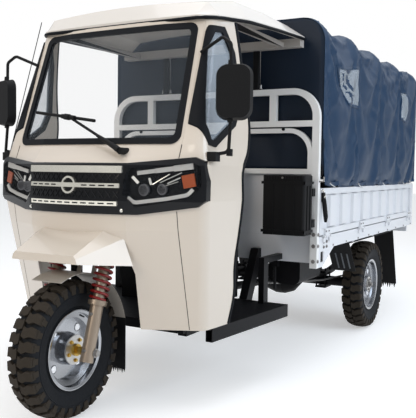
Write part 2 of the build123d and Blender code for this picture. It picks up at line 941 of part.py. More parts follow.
export_step(floor_pan.part, "parts/floor_pan.step")

# Seat, dashboard and engine

seat_y = aft(900)
seat_bottom = 664
with BuildPart() as seat_base:
    with BuildSketch(Plane.XY.offset(floor_top + seat_gap)):
        with Locations((0, seat_y)):
            Rectangle(520, 320)
        with Locations((0, seat_y + 10)):
            Rectangle(500, 320, mode=Mode.SUBTRACT)
    extrude(amount=seat_bottom - floor_top - 2 * seat_gap)
seat_base.part.label = "seat_base"
export_step(seat_base.part, "parts/seat_base.step")

with BuildPart() as seat:
    with BuildSketch(Plane.XY.offset(seat_bottom)):
        with Locations((0, seat_y - 10)):
            RectangleRounded(560, 380, 60)
    extrude(amount=100)
    fillet(seat.faces().sort_by(Axis.Z)[-1].edges(), radius=30)
    with BuildSketch(Plane(origin=(0, seat_y + 184, seat_bottom + 60), x_dir=(1, 0, 0), z_dir=(0, -1, 0.16))):
        with Locations((0, 170)):
            RectangleRounded(520, 330, 60)
    extrude(amount=70)
seat.part.label = "seat"
export_step(seat.part, "parts/seat.step")

binnacle_width = 340
with BuildPart() as dashboard:
    with BuildSketch(along(-330)):
        with BuildLine():
            Polyline(
                (aft(60), 1112),
                (aft(60), 1068),
                (aft(150), 1062),
                (aft(176), 1078),
                (aft(176), 1112),
                close=True,
            )
        make_face()
    extrude(amount=660)
    # Binnacle in the middle, between the handlebar's ends at full lock
    with BuildSketch(along(-binnacle_width / 2)):
        with BuildLine():
            Polyline(
                (aft(150), 1112),
                (aft(150), 1060),
                (aft(240), 1060),
                (aft(290), 1078),
                (aft(290), 1112),
                close=True,
            )
        make_face()
    extrude(amount=binnacle_width)
    add(cab_inside.part, mode=Mode.INTERSECT)
dashboard.part.label = "dashboard"
export_step(dashboard.part, "parts/dashboard.step")

engine_y = aft(985)
cylinder_back = engine_y + 62
with BuildPart() as engine:
    with BuildSketch(along(-120)):
        with Locations((engine_y + 60, 345)):
            RectangleRounded(300, 170, 60)
    extrude(amount=240)
    for x, radius, thickness in ((-120, 78, -34), (120, 70, 30)):
        with BuildSketch(along(x)):
            with Locations((engine_y + 10, 345)):
                Circle(radius)
        extrude(amount=thickness)
    with BuildSketch(Plane.XY.offset(425)):
        with Locations((0, engine_y - 20)):
            RectangleRounded(100, 110, 20)
    extrude(amount=130)
    for level in range(6):
        with BuildSketch(Plane.XY.offset(432 + level * 16)):
            with Locations((0, engine_y - 20)):
                RectangleRounded(150, 160, 24)
        extrude(amount=5)
    with BuildSketch(Plane.XY.offset(530)):
        with Locations((0, engine_y - 20)):
            RectangleRounded(130, 150, 24)
    extrude(amount=60)
    for x in (-rail_x + rail_width / 2, 100):
        with BuildSketch(along(x)):
            with Locations((engine_y - 30, 330), (engine_y + 50, 330)):
                Rectangle(24, 24)
        extrude(amount=rail_x - rail_width / 2 - 100)
engine.part.label = "engine"
export_step(engine.part, "parts/engine.step")

# Rear axle, springs, propeller shaft, exhaust and fuel tank

axle_tube_radius = 32
spring_pad_z = tyre_radius + axle_tube_radius + seat_gap
spring_leaf = 8
spring_half_length = 430
with BuildPart() as rear_axle:
    with BuildSketch(wheel_plane(0, rear_axle_y)):
        with BuildLine():
            half = (
                # across, radius
                (rear_wheel_x + 34, 0),
                (rear_wheel_x + 34, rear_axle_radius),
                (rear_wheel_x - 42, rear_axle_radius),
                (rear_wheel_x - 42, 105),
                (rear_wheel_x - 82, 105),
                (rear_wheel_x - 88, axle_tube_radius),
                (150, axle_tube_radius),
                (90, 98),
                (30, 118),
            )
            Polyline(*half, *[(-x, r) for x, r in reversed(half)], close=True)
        make_face()
    revolve(axis=wheel_axis(rear_axle_y))
    with BuildSketch(across(rear_axle_y - 100)):
        with Locations((0, tyre_radius)):
            Circle(60)
    extrude(amount=-90)
    with BuildSketch(across(rear_axle_y - 190)):
        with Locations((0, tyre_radius)):
            Circle(34)
    extrude(amount=-100)
rear_axle.part.label = "rear_axle"
export_step(rear_axle.part, "parts/rear_axle.step")

with BuildPart() as leaf_springs:
    for x in (-rail_x, rail_x):
        # Leaves stacked under the main leaf, shortest at the axle
        for leaf, share in enumerate((0.42, 0.7, 1.0)):
            reach = spring_half_length * share
            rise = 62 * share * share
            low = spring_pad_z + leaf * spring_leaf
            with BuildSketch(along(x - 25)):
                with BuildLine():
                    ThreePointArc(
                        (rear_axle_y - reach, low + rise), (rear_axle_y, low), (rear_axle_y + reach, low + rise)
                    )
                    Line((rear_axle_y + reach, low + rise), (rear_axle_y + reach, low + rise + spring_leaf))
                    ThreePointArc(
                        (rear_axle_y + reach, low + rise + spring_leaf),
                        (rear_axle_y, low + spring_leaf),
                        (rear_axle_y - reach, low + rise + spring_leaf),
                    )
                    Line((rear_axle_y - reach, low + rise + spring_leaf), (rear_axle_y - reach, low + rise))
                make_face()
            extrude(amount=50)
        # Shackles up to the chassis rail
        for y in (rear_axle_y - spring_half_length + 6, rear_axle_y + spring_half_length - 6):
            with BuildSketch(along(x - 25)):
                with Locations((y, (spring_pad_z + 70 + rail_top - rail_height) / 2)):
                    Rectangle(26, rail_top - rail_height - spring_pad_z - 70 - seat_gap)
            extrude(amount=50)
leaf_springs.part.label = "leaf_springs"
export_step(leaf_springs.part, "parts/leaf_springs.step")

shaft_radius = 24
with BuildPart() as prop_shaft:
    shaft_start = engine_y + 210 + seat_gap
    shaft_end = rear_axle_y - 190 - seat_gap
    shaft_ends = []
    for y, z in ((shaft_start, 345), (shaft_end, tyre_radius)):
        with BuildSketch(across(y), mode=Mode.PRIVATE) as end:
            with Locations((0, z)):
                Circle(shaft_radius)
        shaft_ends.append(end.sketch)
    loft(shaft_ends, ruled=True)
prop_shaft.part.label = "prop_shaft"
export_step(prop_shaft.part, "parts/prop_shaft.step")

muffler_x = -400
with BuildPart() as exhaust:
    with BuildSketch(across(aft(1440))):
        with Locations((muffler_x, 430)):
            Circle(55)
    extrude(amount=-400)
    with BuildLine() as pipe:
        FilletPolyline(
            (-30, cylinder_back + seat_gap, 470),
            (-30, engine_y + 170, 470),
            (-150, aft(1250), 430),
            (muffler_x, aft(1360), 430),
            (muffler_x, aft(1450), 430),
            radius=30,
        )
    with BuildSketch(Plane(origin=pipe.line @ 0, z_dir=pipe.line % 0)):
        Circle(16)
    sweep(path=pipe.line)
    # Hanger up to the bed
    with BuildSketch(Plane.XY.offset(480)):
        with Locations((muffler_x, aft(1640))):
            Rectangle(8, 40)
    extrude(amount=bed_floor_top - bed_floor_plate - 480 - seat_gap)
exhaust.part.label = "exhaust"
export_step(exhaust.part, "parts/exhaust.step")

with BuildPart() as fuel_tank:
    with BuildSketch(across(aft(1290))):
        with Locations((430, 500)):
            RectangleRounded(180, 180, 40)
    extrude(amount=-330)
    # Straps up to the bed
    for y in (1330, 1560):
        with BuildSketch(Plane.XY.offset(580)):
            with Locations((430, aft(y))):
                Rectangle(120, 30)
        extrude(amount=bed_floor_top - bed_floor_plate - 580 - seat_gap)
fuel_tank.part.label = "fuel_tank"
export_step(fuel_tank.part, "parts/fuel_tank.step")

# Bed floor, front wall and hoop

gusset = 5
front_beam_bottom = 547
side_rail_bottom = bed_floor_top - side_rail_height
beam_depth = 28
tread_margin = 90
tread_plate = 3
with BuildPart() as bed_floor:
    with BuildSketch(Plane.XY.offset(bed_floor_top - bed_floor_plate)):
        with Locations((0, bed_front_y + hoop_depth + (bed_length - hoop_depth) / 2)):
            Rectangle(bed_width, bed_length - hoop_depth)
    extrude(amount=bed_floor_plate)
    # Tread plate that the load lies on, clear of the walls and the hoops' feet
    with BuildSketch(Plane.XY.offset(bed_floor_top)):
        with Locations((0, bed_front_y + hoop_depth + (bed_length - hoop_depth) / 2)):
            Rectangle(bed_width - 2 * tread_margin, bed_length - hoop_depth - 2 * tread_margin)
    extrude(amount=tread_plate)
    for side in (1, -1):
        with BuildSketch(across(bed_front_y + hoop_depth)):
            with Locations((side * (bed_half - side_rail_width / 2), bed_floor_top - side_rail_height / 2)):
                Rectangle(side_rail_width, side_rail_height)
                with Locations((-side * tube_wall, 0)):
                    Rectangle(side_rail_width, side_rail_height - 2 * tube_wall, mode=Mode.SUBTRACT)
        extrude(amount=-(bed_length - hoop_depth))
        # Gusset beside the hoop's post, with its window
        with BuildSketch(along(side * (bed_half - gusset / 2) - gusset / 2)):
            with BuildLine():
                Polyline(
                    (bed_front_y + hoop_depth, post_bottom),
                    (bed_front_y + hoop_depth + 60, post_bottom),
                    (aft(1463), side_rail_bottom + 2),
                    (bed_front_y + hoop_depth, side_rail_bottom + 2),
                    close=True,
                )
            make_face()
            with Locations((bed_front_y + hoop_depth + 52, 578)):
                RectangleRounded(44, 56, 6, mode=Mode.SUBTRACT)
        extrude(amount=gusset)
    for index in range(5):
        y = bed_front_y + hoop_depth + 200 + index * 440
        with BuildSketch(along(-bed_half + 10)):
            with Locations((y, (rail_top + seat_gap + bed_floor_top - bed_floor_plate) / 2)):
                Rectangle(40, bed_floor_top - bed_floor_plate - rail_top - seat_gap)
        extrude(amount=bed_width - 20)
    for y, low in ((bed_front_y + hoop_depth, front_beam_bottom), (bed_rear_y - beam_depth, 560)):
        with BuildSketch(across(y)):
            with Locations((0, (low + bed_floor_top - bed_floor_plate) / 2)):
                Rectangle(bed_width - 2 * hoop_face, bed_floor_top - bed_floor_plate - low)
        extrude(amount=-beam_depth)
    # Cut the chassis rails' room out of the beams
    for x in (-rail_x, rail_x):
        with BuildSketch(across(bed_front_y)):
            with Locations((x, rail_top - 100 + seat_gap)):
                Rectangle(rail_width + 2 * seat_gap, 200)
        extrude(amount=-(bed_length + 50), mode=Mode.SUBTRACT)
bed_floor.part.label = "bed_floor"
export_step(bed_floor.part, "parts/bed_floor.step")

hoop_height = hoop_top - post_bottom
mid_bar_low = 1259
mid_bar_high = 1290
inner_frame_low = 1013
inner_frame_top = 1251
with BuildPart() as bed_hoop:
    inner_half = bed_half - hoop_face
    with BuildSketch(across(bed_front_y)):
        with Locations((0, post_bottom)):
            RectangleRounded(bed_width, 2 * hoop_height, hoop_radius)
            RectangleRounded(2 * inner_half, 2 * (hoop_height - 32), hoop_radius - 35, mode=Mode.SUBTRACT)
        with Locations((0, post_bottom - hoop_height / 2)):
            Rectangle(bed_width, hoop_height, mode=Mode.SUBTRACT)
        # Middle bar, its two uprights and the rounded frame below
        with Locations((0, (mid_bar_low + mid_bar_high) / 2)):
            Rectangle(2 * inner_half + 2, mid_bar_high - mid_bar_low)
        with Locations((-388, (mid_bar_high + hoop_top) / 2 - 14), (388, (mid_bar_high + hoop_top) / 2 - 14)):
            Rectangle(37, hoop_top - mid_bar_high - 20)
        with Locations((0, inner_frame_top)):
            Rectangle(160, 20)
    extrude(amount=-hoop_depth)
    with BuildSketch(across(bed_front_y + 2)):
        with Locations((0, inner_frame_low)):
            RectangleRounded(2 * inner_half + 2, 2 * (inner_frame_top - inner_frame_low), 130)
            RectangleRounded(2 * inner_half - 48, 2 * (inner_frame_top - inner_frame_low - 24), 106, mode=Mode.SUBTRACT)
        with Locations((0, inner_frame_low - 200)):
            Rectangle(bed_width, 400, mode=Mode.SUBTRACT)
        with Locations((0, inner_frame_low + 13)):
            Rectangle(2 * inner_half + 2, 27)
    extrude(amount=-hoop_depth + 4)
bed_hoop.part.label = "bed_hoop"
export_step(bed_hoop.part, "parts/bed_hoop.step")

wall_y = bed_front_y + hoop_depth + seat_gap
wall_top = 1030
wall_sheet = 4
with BuildPart() as bed_front_wall:
    with BuildSketch(across(wall_y)):
        with Locations((0, (bed_floor_top + seat_gap + wall_top) / 2)):
            Rectangle(2 * (bed_half - panel_thickness - 12), wall_top - bed_floor_top - seat_gap)
    extrude(amount=-wall_sheet)
    for index in range(6):
        x = -500 + index * 200
        with BuildSketch(across(wall_y + wall_sheet)):
            with Locations((x, 858)):
                RectangleRounded(110, 270, 20)
        extrude(amount=-14, taper=20)
    with BuildSketch(across(wall_y)):
        with Locations((-590, 858), (590, 858)):
            Rectangle(16, 340)
    extrude(amount=-24)
bed_front_wall.part.label = "bed_front_wall"
export_step(bed_front_wall.part, "parts/bed_front_wall.step")

# Drop sides and tailgate, ribbed sheet in a frame, with their hinge barrels

side_panel_length = bed_length - hoop_depth - panel_thickness - 2 * panel_gap
hinge_x = bed_half + hinge_radius + 2
hinge_z = bed_floor_top
gate_hinge_y = bed_rear_y + hinge_radius + 2
hinge_length = 60
hinge_count = 4
rib_pitch = 210


def ribbed_panel(length, thickness):
    """Panel drawn flat: length along X, height along Y, outer face on top at Z 0."""
    height = panel_top - panel_bottom
    with BuildPart(mode=Mode.PRIVATE) as panel:
        with BuildSketch(Plane.XY.offset(-thickness)):
            with Locations((0, height / 2)):
                Rectangle(length, height)
                Rectangle(length - 60, height - 64, mode=Mode.SUBTRACT)
        extrude(amount=thickness)
        with BuildSketch(Plane.XY.offset(-thickness / 2 - panel_sheet)):
            with Locations((0, height / 2)):
                Rectangle(length - 58, height - 62)
        extrude(amount=panel_sheet)
        count = int((length - 120) // rib_pitch)
        with BuildSketch(Plane.XY.offset(-thickness / 2)):
            with Locations((0, height / 2)):
                with GridLocations(rib_pitch, 1, count, 1):
                    Rectangle(110, height - 66)
        extrude(amount=thickness / 2 - 2, taper=24)
    return panel.part


def hinge_barrels(plane, span):
    """Hinge barrels and leaves on a panel's lower edge, along the plane's X."""
    with BuildPart(mode=Mode.PRIVATE) as barrels:
        for index in range(hinge_count):
            x = (index / (hinge_count - 1) - 0.5) * (span - 200)
            with BuildSketch(Plane(origin=plane.origin + plane.x_dir * (x - hinge_length / 2), z_dir=plane.x_dir)):
                Circle(hinge_radius)
            extrude(amount=hinge_length)
    return barrels.part


for side, name in ((1, "left"), (-1, "right")):
    outer_face = Plane(
        origin=(side * bed_half, bed_front_y + hoop_depth + panel_gap + side_panel_length / 2, panel_bottom),
        x_dir=(0, side, 0),
        z_dir=(side, 0, 0),
    )
    hinge_line = Plane(origin=(side * hinge_x, outer_face.origin.Y, hinge_z), x_dir=(0, 1, 0), z_dir=(side, 0, 0))
    with BuildPart() as side_panel:
        add(outer_face * ribbed_panel(side_panel_length, panel_thickness))
        add(hinge_barrels(hinge_line, side_panel_length))
        for index in range(hinge_count):
            y = outer_face.origin.Y + (index / (hinge_count - 1) - 0.5) * (side_panel_length - 200)
            with BuildSketch(along(side * bed_half)):
                with Locations((y, hinge_z + 20)):
                    Rectangle(hinge_length, 40)
            extrude(amount=side * (hinge_radius + 2))
    side_panel.part.label = f"side_panel_{name}"
    export_step(side_panel.part, f"parts/side_panel_{name}.step")

gate_length = bed_width - 2
with BuildPart() as tailgate:
    gate_face = Plane(origin=(0, bed_rear_y, panel_bottom), x_dir=(-1, 0, 0), z_dir=(0, 1, 0))
    add(gate_face * ribbed_panel(gate_length, panel_thickness))
    add(hinge_barrels(Plane(origin=(0, gate_hinge_y, hinge_z), x_dir=(1, 0, 0), z_dir=(0, 1, 0)), gate_length))
    for index in range(hinge_count):
        x = (index / (hinge_count - 1) - 0.5) * (gate_length - 200)
        with BuildSketch(across(bed_rear_y)):
            with Locations((x, hinge_z + 20)):
                Rectangle(hinge_length, 40)
        extrude(amount=-(hinge_radius + 2))
tailgate.part.label = "tailgate"
export_step(tailgate.part, "parts/tailgate.step")

# Tarpaulin on its hoops, with clear windows

tarp_front_y = bed_front_y + hoop_depth + 12
tarp_rear_y = bed_rear_y + 2
window_rows = (
    # distance behind the axle to the middle, height of the middle, length, height
    (1665, 1512, 380, 200),
    (2940, 1512, 210, 200),
)

with BuildPart() as tarp_hoops:
    leg_half = bed_half - panel_thickness - 20
    side_half = tarp_half_width - tarp_sheet - tarp_hoop_radius - seat_gap
    top_z = tarp_top - tarp_sheet - tarp_hoop_radius - seat_gap
    first = tarp_front_y + tarp_sheet + 30
    pitch = (tarp_rear_y - tarp_sheet - 50 - first) / (hoop_count - 1)
    for index in range(hoop_count):
        y = first + index * pitch
        bend = tarp_radius - tarp_sheet - tarp_hoop_radius
        with BuildLine(mode=Mode.PRIVATE) as hoop:
            FilletPolyline(
                (-leg_half, y, bed_floor_top + seat_gap),
                (-leg_half, y, 940),
                (-side_half, y, 1020),
                (-side_half, y, top_z),
                (side_half, y, top_z),
                (side_half, y, 1020),
                (leg_half, y, 940),
                (leg_half, y, bed_floor_top + seat_gap),
                radius=[30, 30, bend, bend, 30, 30],
            )
        with BuildSketch(Plane(origin=hoop.line @ 0, z_dir=(0, 0, 1)), mode=Mode.PRIVATE) as tube:
            Circle(tarp_hoop_radius)
        sweep(tube.sketch, path=hoop.line)
tarp_hoops.part.label = "tarp_hoops"
export_step(tarp_hoops.part, "parts/tarp_hoops.step")


def tarp_block(inset, low):
    """Solid under the tarpaulin's skin, moved inward by inset."""
    half = tarp_half_width - inset
    top = tarp_top - inset
    with BuildSketch(across(tarp_front_y + inset), mode=Mode.PRIVATE) as outline:
        with Locations((0, low)):
            RectangleRounded(2 * half, 2 * (top - low), tarp_radius - inset)
        with Locations((0, low - 1000)):
            Rectangle(2 * half + 10, 2000, mode=Mode.SUBTRACT)
    return extrude(outline.sketch, amount=-(tarp_rear_y - tarp_front_y - 2 * inset), mode=Mode.PRIVATE)


def window_boxes(inset, mode):
    """Window openings through both sides of the tarpaulin."""
    for y, z, length, height in window_rows:
        with BuildSketch(along(0), mode=Mode.PRIVATE) as window:
            with Locations((aft(y), z)):
                RectangleRounded(length - 2 * inset, height - 2 * inset, 20)
        extrude(window.sketch, amount=900, both=True, mode=mode)


with BuildPart() as tarpaulin:
    add(tarp_block(0, tarp_low))
    add(tarp_block(tarp_sheet, tarp_low - 10), mode=Mode.SUBTRACT)
    window_boxes(0, Mode.SUBTRACT)
    with BuildSketch(across(tarp_front_y - 5)):
        with Locations((0, tarp_low)):
            Rectangle(2 * (bed_half - hoop_face), 2 * (wall_top + 4 - tarp_low))
    extrude(amount=-tarp_sheet - 10, mode=Mode.SUBTRACT)
tarpaulin.part.label = "tarpaulin"
export_step(tarpaulin.part, "parts/tarpaulin.step")

with BuildPart() as tarp_windows:
    for side in (1, -1):
        for y, z, length, height in window_rows:
            with BuildSketch(along(side * (tarp_half_width - tarp_sheet))):
                with Locations((aft(y), z)):
                    RectangleRounded(length - 2 * seat_gap, height - 2 * seat_gap, 20)
            extrude(amount=side * (tarp_sheet - 2))
tarp_windows.part.label = "tarp_windows"
export_step(tarp_windows.part, "parts/tarp_windows.step")

# Rear mudguards, tail lamps and tool box

guard_path = (
    # distance behind the axle, height
    (1900, 420),
    (1752, rail_top),
    (2800, rail_top),
    (2945, 200),
)
guard_inner = 505
guard_outer = bed_half - 4
with BuildPart() as rear_mudguards:
    for side in (1, -1):
        x = side * (guard_inner if side > 0 else guard_outer)
        with BuildSketch(along(x)):
            with BuildLine():
                Polyline(*[(aft(y), z) for y, z in guard_path])
                offset(amount=guard_sheet, side=Side.RIGHT)
            make_face()
        extrude(amount=guard_outer - guard_inner)
rear_mudguards.part.label = "rear_mudguards"
export_step(rear_mudguards.part, "parts/rear_mudguards.step")

with BuildPart() as tail_lamps:
    for x in (-480, 480):
        with BuildSketch(across(bed_rear_y + seat_gap)):
            with Locations((x, 620)):
                RectangleRounded(150, 70, 12)
        extrude(amount=-6)
tail_lamps.part.label = "tail_lamps"
export_step(tail_lamps.part, "parts/tail_lamps.step")

box_left = 636
box_right = 408
box_front = aft(1030)
box_rear = aft(1150)
box_bottom = 704
box_top = 985
box_wall = 4
lid_height = 22
lid_barrel_radius = 5
lid_hinge_y = box_rear + lid_barrel_radius + 3
with BuildPart() as tool_box:
    with BuildSketch(Plane.XY.offset(box_bottom)):
        with Locations(((box_left + box_right) / 2, (box_front + box_rear) / 2)):
            RectangleRounded(box_left - box_right, box_rear - box_front, 14)
    extrude(amount=box_top - box_bottom)
    with BuildSketch(Plane.XY.offset(box_bottom + box_wall)):
        with Locations(((box_left + box_right) / 2, (box_front + box_rear) / 2)):
            RectangleRounded(box_left - box_right - 2 * box_wall, box_rear - box_front - 2 * box_wall, 10)
    extrude(amount=box_top - box_bottom, mode=Mode.SUBTRACT)
    # Straps back to the hoop's post
    for z in (760, 920):
        with BuildSketch(across(box_rear - 1)):
            with Locations((box_left - 12, z)):
                Rectangle(24, 40)
        extrude(amount=-(bed_front_y - box_rear + 1 - seat_gap))
tool_box.part.label = "tool_box"
export_step(tool_box.part, "parts/tool_box.step")

with BuildPart() as tool_box_lid:
    with BuildSketch(Plane.XY.offset(box_top + seat_gap)):
        with Locations(((box_left + box_right) / 2, (box_front + box_rear) / 2)):
            RectangleRounded(box_left - box_right, box_rear - box_front, 14)
    extrude(amount=lid_height)
    fillet(tool_box_lid.faces().sort_by(Axis.Z)[-1].edges(), radius=6)
    # Hinge barrel behind the box, with its leaf
    lid_hinge_length = box_left - box_right - 60
    with BuildSketch(along(box_right + 30)):
        with Locations((lid_hinge_y, box_top + seat_gap)):
            Circle(lid_barrel_radius)
    extrude(amount=lid_hinge_length)
    with BuildSketch(along(box_right + 30)):
        with Locations(((box_rear - 2 + lid_hinge_y) / 2, box_top + seat_gap + 2)):
            Rectangle(lid_hinge_y - box_rear + 2, 4)
    extrude(amount=lid_hinge_length)
tool_box_lid.part.label = "tool_box_lid"
export_step(tool_box_lid.part, "parts/tool_box_lid.step")
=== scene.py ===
from math import copysign, cos, exp, pi, radians, sin, sqrt

import bmesh
import bpy
from mathutils import Matrix, Vector, noise
from mathutils.bvhtree import BVHTree


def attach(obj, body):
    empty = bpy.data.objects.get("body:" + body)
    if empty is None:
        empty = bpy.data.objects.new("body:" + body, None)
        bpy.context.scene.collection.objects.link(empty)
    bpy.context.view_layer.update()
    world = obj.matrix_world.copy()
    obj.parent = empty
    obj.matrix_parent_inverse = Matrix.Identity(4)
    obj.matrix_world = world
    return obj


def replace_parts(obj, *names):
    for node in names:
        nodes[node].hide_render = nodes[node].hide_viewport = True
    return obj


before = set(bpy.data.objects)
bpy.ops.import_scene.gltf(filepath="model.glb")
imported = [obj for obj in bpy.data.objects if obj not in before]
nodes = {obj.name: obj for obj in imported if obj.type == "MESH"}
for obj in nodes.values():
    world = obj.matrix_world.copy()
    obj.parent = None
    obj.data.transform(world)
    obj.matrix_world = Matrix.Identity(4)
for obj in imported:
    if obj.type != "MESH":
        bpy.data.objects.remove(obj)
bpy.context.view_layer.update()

# Sizes shared with the solids, in metres
FRONT_Y = -1.559
REAR_Y = 0.741
WHEEL_Z = 0.285
REAR_X = 0.578
RAKE = radians(17.5)
TURN = 2 * pi
FORWARD = (0, -1, 0)


def aft(distance):
    """Y of a point this far behind the front axle."""
    return FRONT_Y + distance


# Materials


def set_inputs(node, values):
    """Sets some inputs of a shader node."""
    for key, value in values.items():
        node.inputs[key].default_value = value
    return node


def add_node(tree, kind, **values):
    """New shader node with some inputs set; an underscore stands for a space in an input's name."""
    return set_inputs(tree.nodes.new(kind), {key.replace("_", " "): value for key, value in values.items()})


def principled(mat, values):
    """Sets some inputs of a surface's main shader."""
    return set_inputs(mat.node_tree.nodes["Principled BSDF"], values)


def material(name, color, rough=0.5, metal=0.0, coat=0.0, bump=0.0, scale=40.0, vary=0.06, spec=0.5):
    """Procedural surface with a little uneven roughness and, if asked for, fine bump."""
    mat = bpy.data.materials.new(name)
    mat.use_nodes = True
    tree = mat.node_tree
    shader = principled(mat, {"Base Color": (*color, 1), "Metallic": metal, "Coat Weight": coat,
                              "Coat Roughness": 0.06, "Specular IOR Level": spec})
    coords = add_node(tree, "ShaderNodeTexCoord")
    grain = add_node(tree, "ShaderNodeTexNoise", Scale=scale, Detail=4)
    tree.links.new(coords.outputs["Object"], grain.inputs["Vector"])
    dull, glossy = min(1.0, rough + vary), max(0.02, rough - vary)
    gloss_range = add_node(tree, "ShaderNodeMapRange", To_Min=glossy, To_Max=dull)
    tree.links.new(grain.outputs["Fac"], gloss_range.inputs["Value"])
    tree.links.new(gloss_range.outputs["Result"], shader.inputs["Roughness"])
    if bump:
        relief = add_node(tree, "ShaderNodeBump", Strength=bump, Distance=0.002)
        tree.links.new(grain.outputs["Fac"], relief.inputs["Height"])
        tree.links.new(relief.outputs["Normal"], shader.inputs["Normal"])
    return mat


def glass(name, color, alpha, rough=0.04):
    """Thin clear sheet: mostly see-through, with the shine of a real pane."""
    mat = material(name, color, rough, vary=0.01)
    principled(mat, {"Alpha": alpha})
    return mat


IVORY = material("ivory_paint", (0.69, 0.602, 0.505), 0.24, coat=0.7, scale=8, vary=0.03, spec=0.35)
CREAM = material("cream_roof", (0.74, 0.69, 0.63), 0.3, coat=0.4, scale=10, vary=0.04, spec=0.35)
# Painted shade: a darker copy of the roof's cream, for the frame bars under the roof
SHADED_CREAM = material("cream_painted_shade", (0.42, 0.39, 0.36), 0.5, spec=0.2)
WHITE = material("bed_paint", (0.74, 0.745, 0.765), 0.32, coat=0.3, scale=12, vary=0.05, spec=0.35)
HOOP_PAINT = material("hoop_paint", (0.90, 0.885, 0.86), 0.34, coat=0.3, scale=12, vary=0.05, spec=0.35)
BEIGE = material("beige_guard", (0.44, 0.40, 0.35), 0.4, coat=0.2, scale=20, vary=0.05, spec=0.3)
BLACK = material("black_paint", (0.006, 0.006, 0.007), 0.45, bump=0.1, scale=60, spec=0.12)
PLASTIC = material("black_plastic", (0.007, 0.007, 0.0075), 0.55, bump=0.25, scale=220, spec=0.14)
GLOSS = material("gloss_black", (0.004, 0.0045, 0.006), 0.22, coat=0.12, vary=0.03, spec=0.2)
RUBBER = material("seal_rubber", (0.004, 0.005, 0.007), 0.5, bump=0.15, scale=150, spec=0.12)
TYRE = material("tyre_rubber", (0.0065, 0.0075, 0.0095), 0.7, bump=0.35, scale=90, vary=0.1, spec=0.2)
TREAD = material("tread_rubber", (0.032, 0.025, 0.018), 0.78, bump=0.4, scale=70, vary=0.1, spec=0.2)
# Painted highlight: a lighter grey for the rear mudguards' ribs, where they catch the light
RIB_HIGHLIGHT = material("rib_painted_highlight", (0.13, 0.14, 0.15), 0.45, vary=0.1, spec=0.3)
CHROME = material("chrome", (0.80, 0.78, 0.72), 0.1, metal=1, vary=0.02)
BRIGHT = material("bright_bars", (0.95, 0.91, 0.80), 0.16, metal=0.85, vary=0.08, scale=14)
RIM = material("rim_silver", (0.40, 0.41, 0.43), 0.2, metal=1, vary=0.05)
HUB = material("hub_silver", (0.55, 0.54, 0.52), 0.34, metal=0.9, bump=0.2, scale=60)
STEEL = material("bare_steel", (0.30, 0.29, 0.28), 0.4, metal=1, bump=0.15)
ZINC = material("yellow_zinc", (0.46, 0.30, 0.07), 0.3, metal=1, vary=0.08)
CHAMPAGNE = material("champagne_leg", (0.30, 0.235, 0.175), 0.34, metal=0.6, coat=0.25)
RED = material("spring_red", (0.20, 0.006, 0.005), 0.34, coat=0.25, spec=0.3)
CAST = material("cast_alloy", (0.16, 0.16, 0.17), 0.5, metal=0.9, bump=0.5, scale=120)
SEAT = material("seat_vinyl", (0.009, 0.009, 0.010), 0.45, bump=0.35, scale=180, spec=0.3)
MIRROR = material("mirror_glass", (0.8, 0.82, 0.85), 0.03, metal=1, vary=0.01)
SMOKE = glass("lamp_cover", (0.03, 0.033, 0.038), 0.16)
CLEAR = glass("clear_glass", (0.30, 0.34, 0.38), 0.06)
TINTED = glass("quarter_glass", (0.60, 0.67, 0.74), 0.32)
FILM = glass("clear_film", (0.58, 0.64, 0.70), 0.34, 0.12)
GUIDE = material("light_guide", (0.66, 0.64, 0.60), 0.3, coat=0.3, spec=0.3)
AMBER = material("amber_lens", (0.46, 0.085, 0.016), 0.22, coat=0.4)
RED_LENS = material("red_lens", (0.4, 0.008, 0.008), 0.2, coat=0.5)
CORD = material("white_cord", (0.62, 0.62, 0.60), 0.7, bump=0.3)
TARP = material("tarp_fabric", (0.010, 0.036, 0.082), 0.38, bump=0.3, scale=260, vary=0.08, spec=0.25)
# Painted shade: the tarp fabric darkened for the front curtain, which hangs in shade behind the cab
TARP_SHADED = material("tarp_painted_shade", (0.006, 0.013, 0.026), 0.45, bump=0.3, scale=260, vary=0.08, spec=0.2)
# Painted light: the rims' vents are shut by discs that glow a little, in place of the bright backdrop seen
# through real vents
VENT_GLOW = material("vent_painted_glow", (0.80, 0.81, 0.83), 0.6, spec=0.2)
principled(VENT_GLOW, {"Emission Color": (1, 1, 1, 1), "Emission Strength": 0.35})

# Building helpers


def in_scene(name, data):
    """New object in the scene."""
    obj = bpy.data.objects.new(name, data)
    bpy.context.scene.collection.objects.link(obj)
    return obj


def from_data(name, verts, faces):
    """Mesh from points and faces."""
    mesh = bpy.data.meshes.new(name)
    mesh.from_pydata([tuple(v) for v in verts], [], faces)
    mesh.validate()
    mesh.update()
    return mesh


def edit(mesh, change):
    """Runs a change on an editable copy of a mesh and writes it back."""
    bm = bmesh.new()
    bm.from_mesh(mesh)
    change(bm)
    bm.to_mesh(mesh)
    bm.free()


def smooth_by_angle(mesh, degrees):
    """Smooth shading with edges sharper than an angle left crisp."""
    limit = radians(degrees)

    def shade(bm):
        for face in bm.faces:
            face.smooth = True
        for edge in bm.edges:
            edge.smooth = len(edge.link_faces) == 2 and edge.calc_face_angle(0) < limit

    edit(mesh, shade)


def smooth_all(mesh):
    """Smooth shading without crisp edges."""
    for face in mesh.polygons:
        face.use_smooth = True


def thicken(obj, thickness, offset=0):
    """Gives a sheet its real thickness."""
    solid = obj.modifiers.new("Thickness", "SOLIDIFY")
    solid.thickness = thickness
    solid.offset = offset


def place(name, mesh, mat, body, smooth=None):
    """Links a mesh as a piece that rides on a body."""
    obj = in_scene(name, mesh)
    for m in mat if isinstance(mat, (list, tuple)) else [mat]:
        mesh.materials.append(m)
    if smooth is not None:
        smooth_by_angle(mesh, smooth)
    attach(obj, body)
    return obj


def grid_faces(rows, columns):
    """Quads between the points of a grid that is written row by row."""
    return [
        (r * columns + c, r * columns + c + 1, (r + 1) * columns + c + 1, (r + 1) * columns + c)
        for r in range(rows - 1)
        for c in range(columns - 1)
    ]


def ringed(count):
    """Angles evenly spaced round a turn."""
    return [TURN * i / count for i in range(count)]


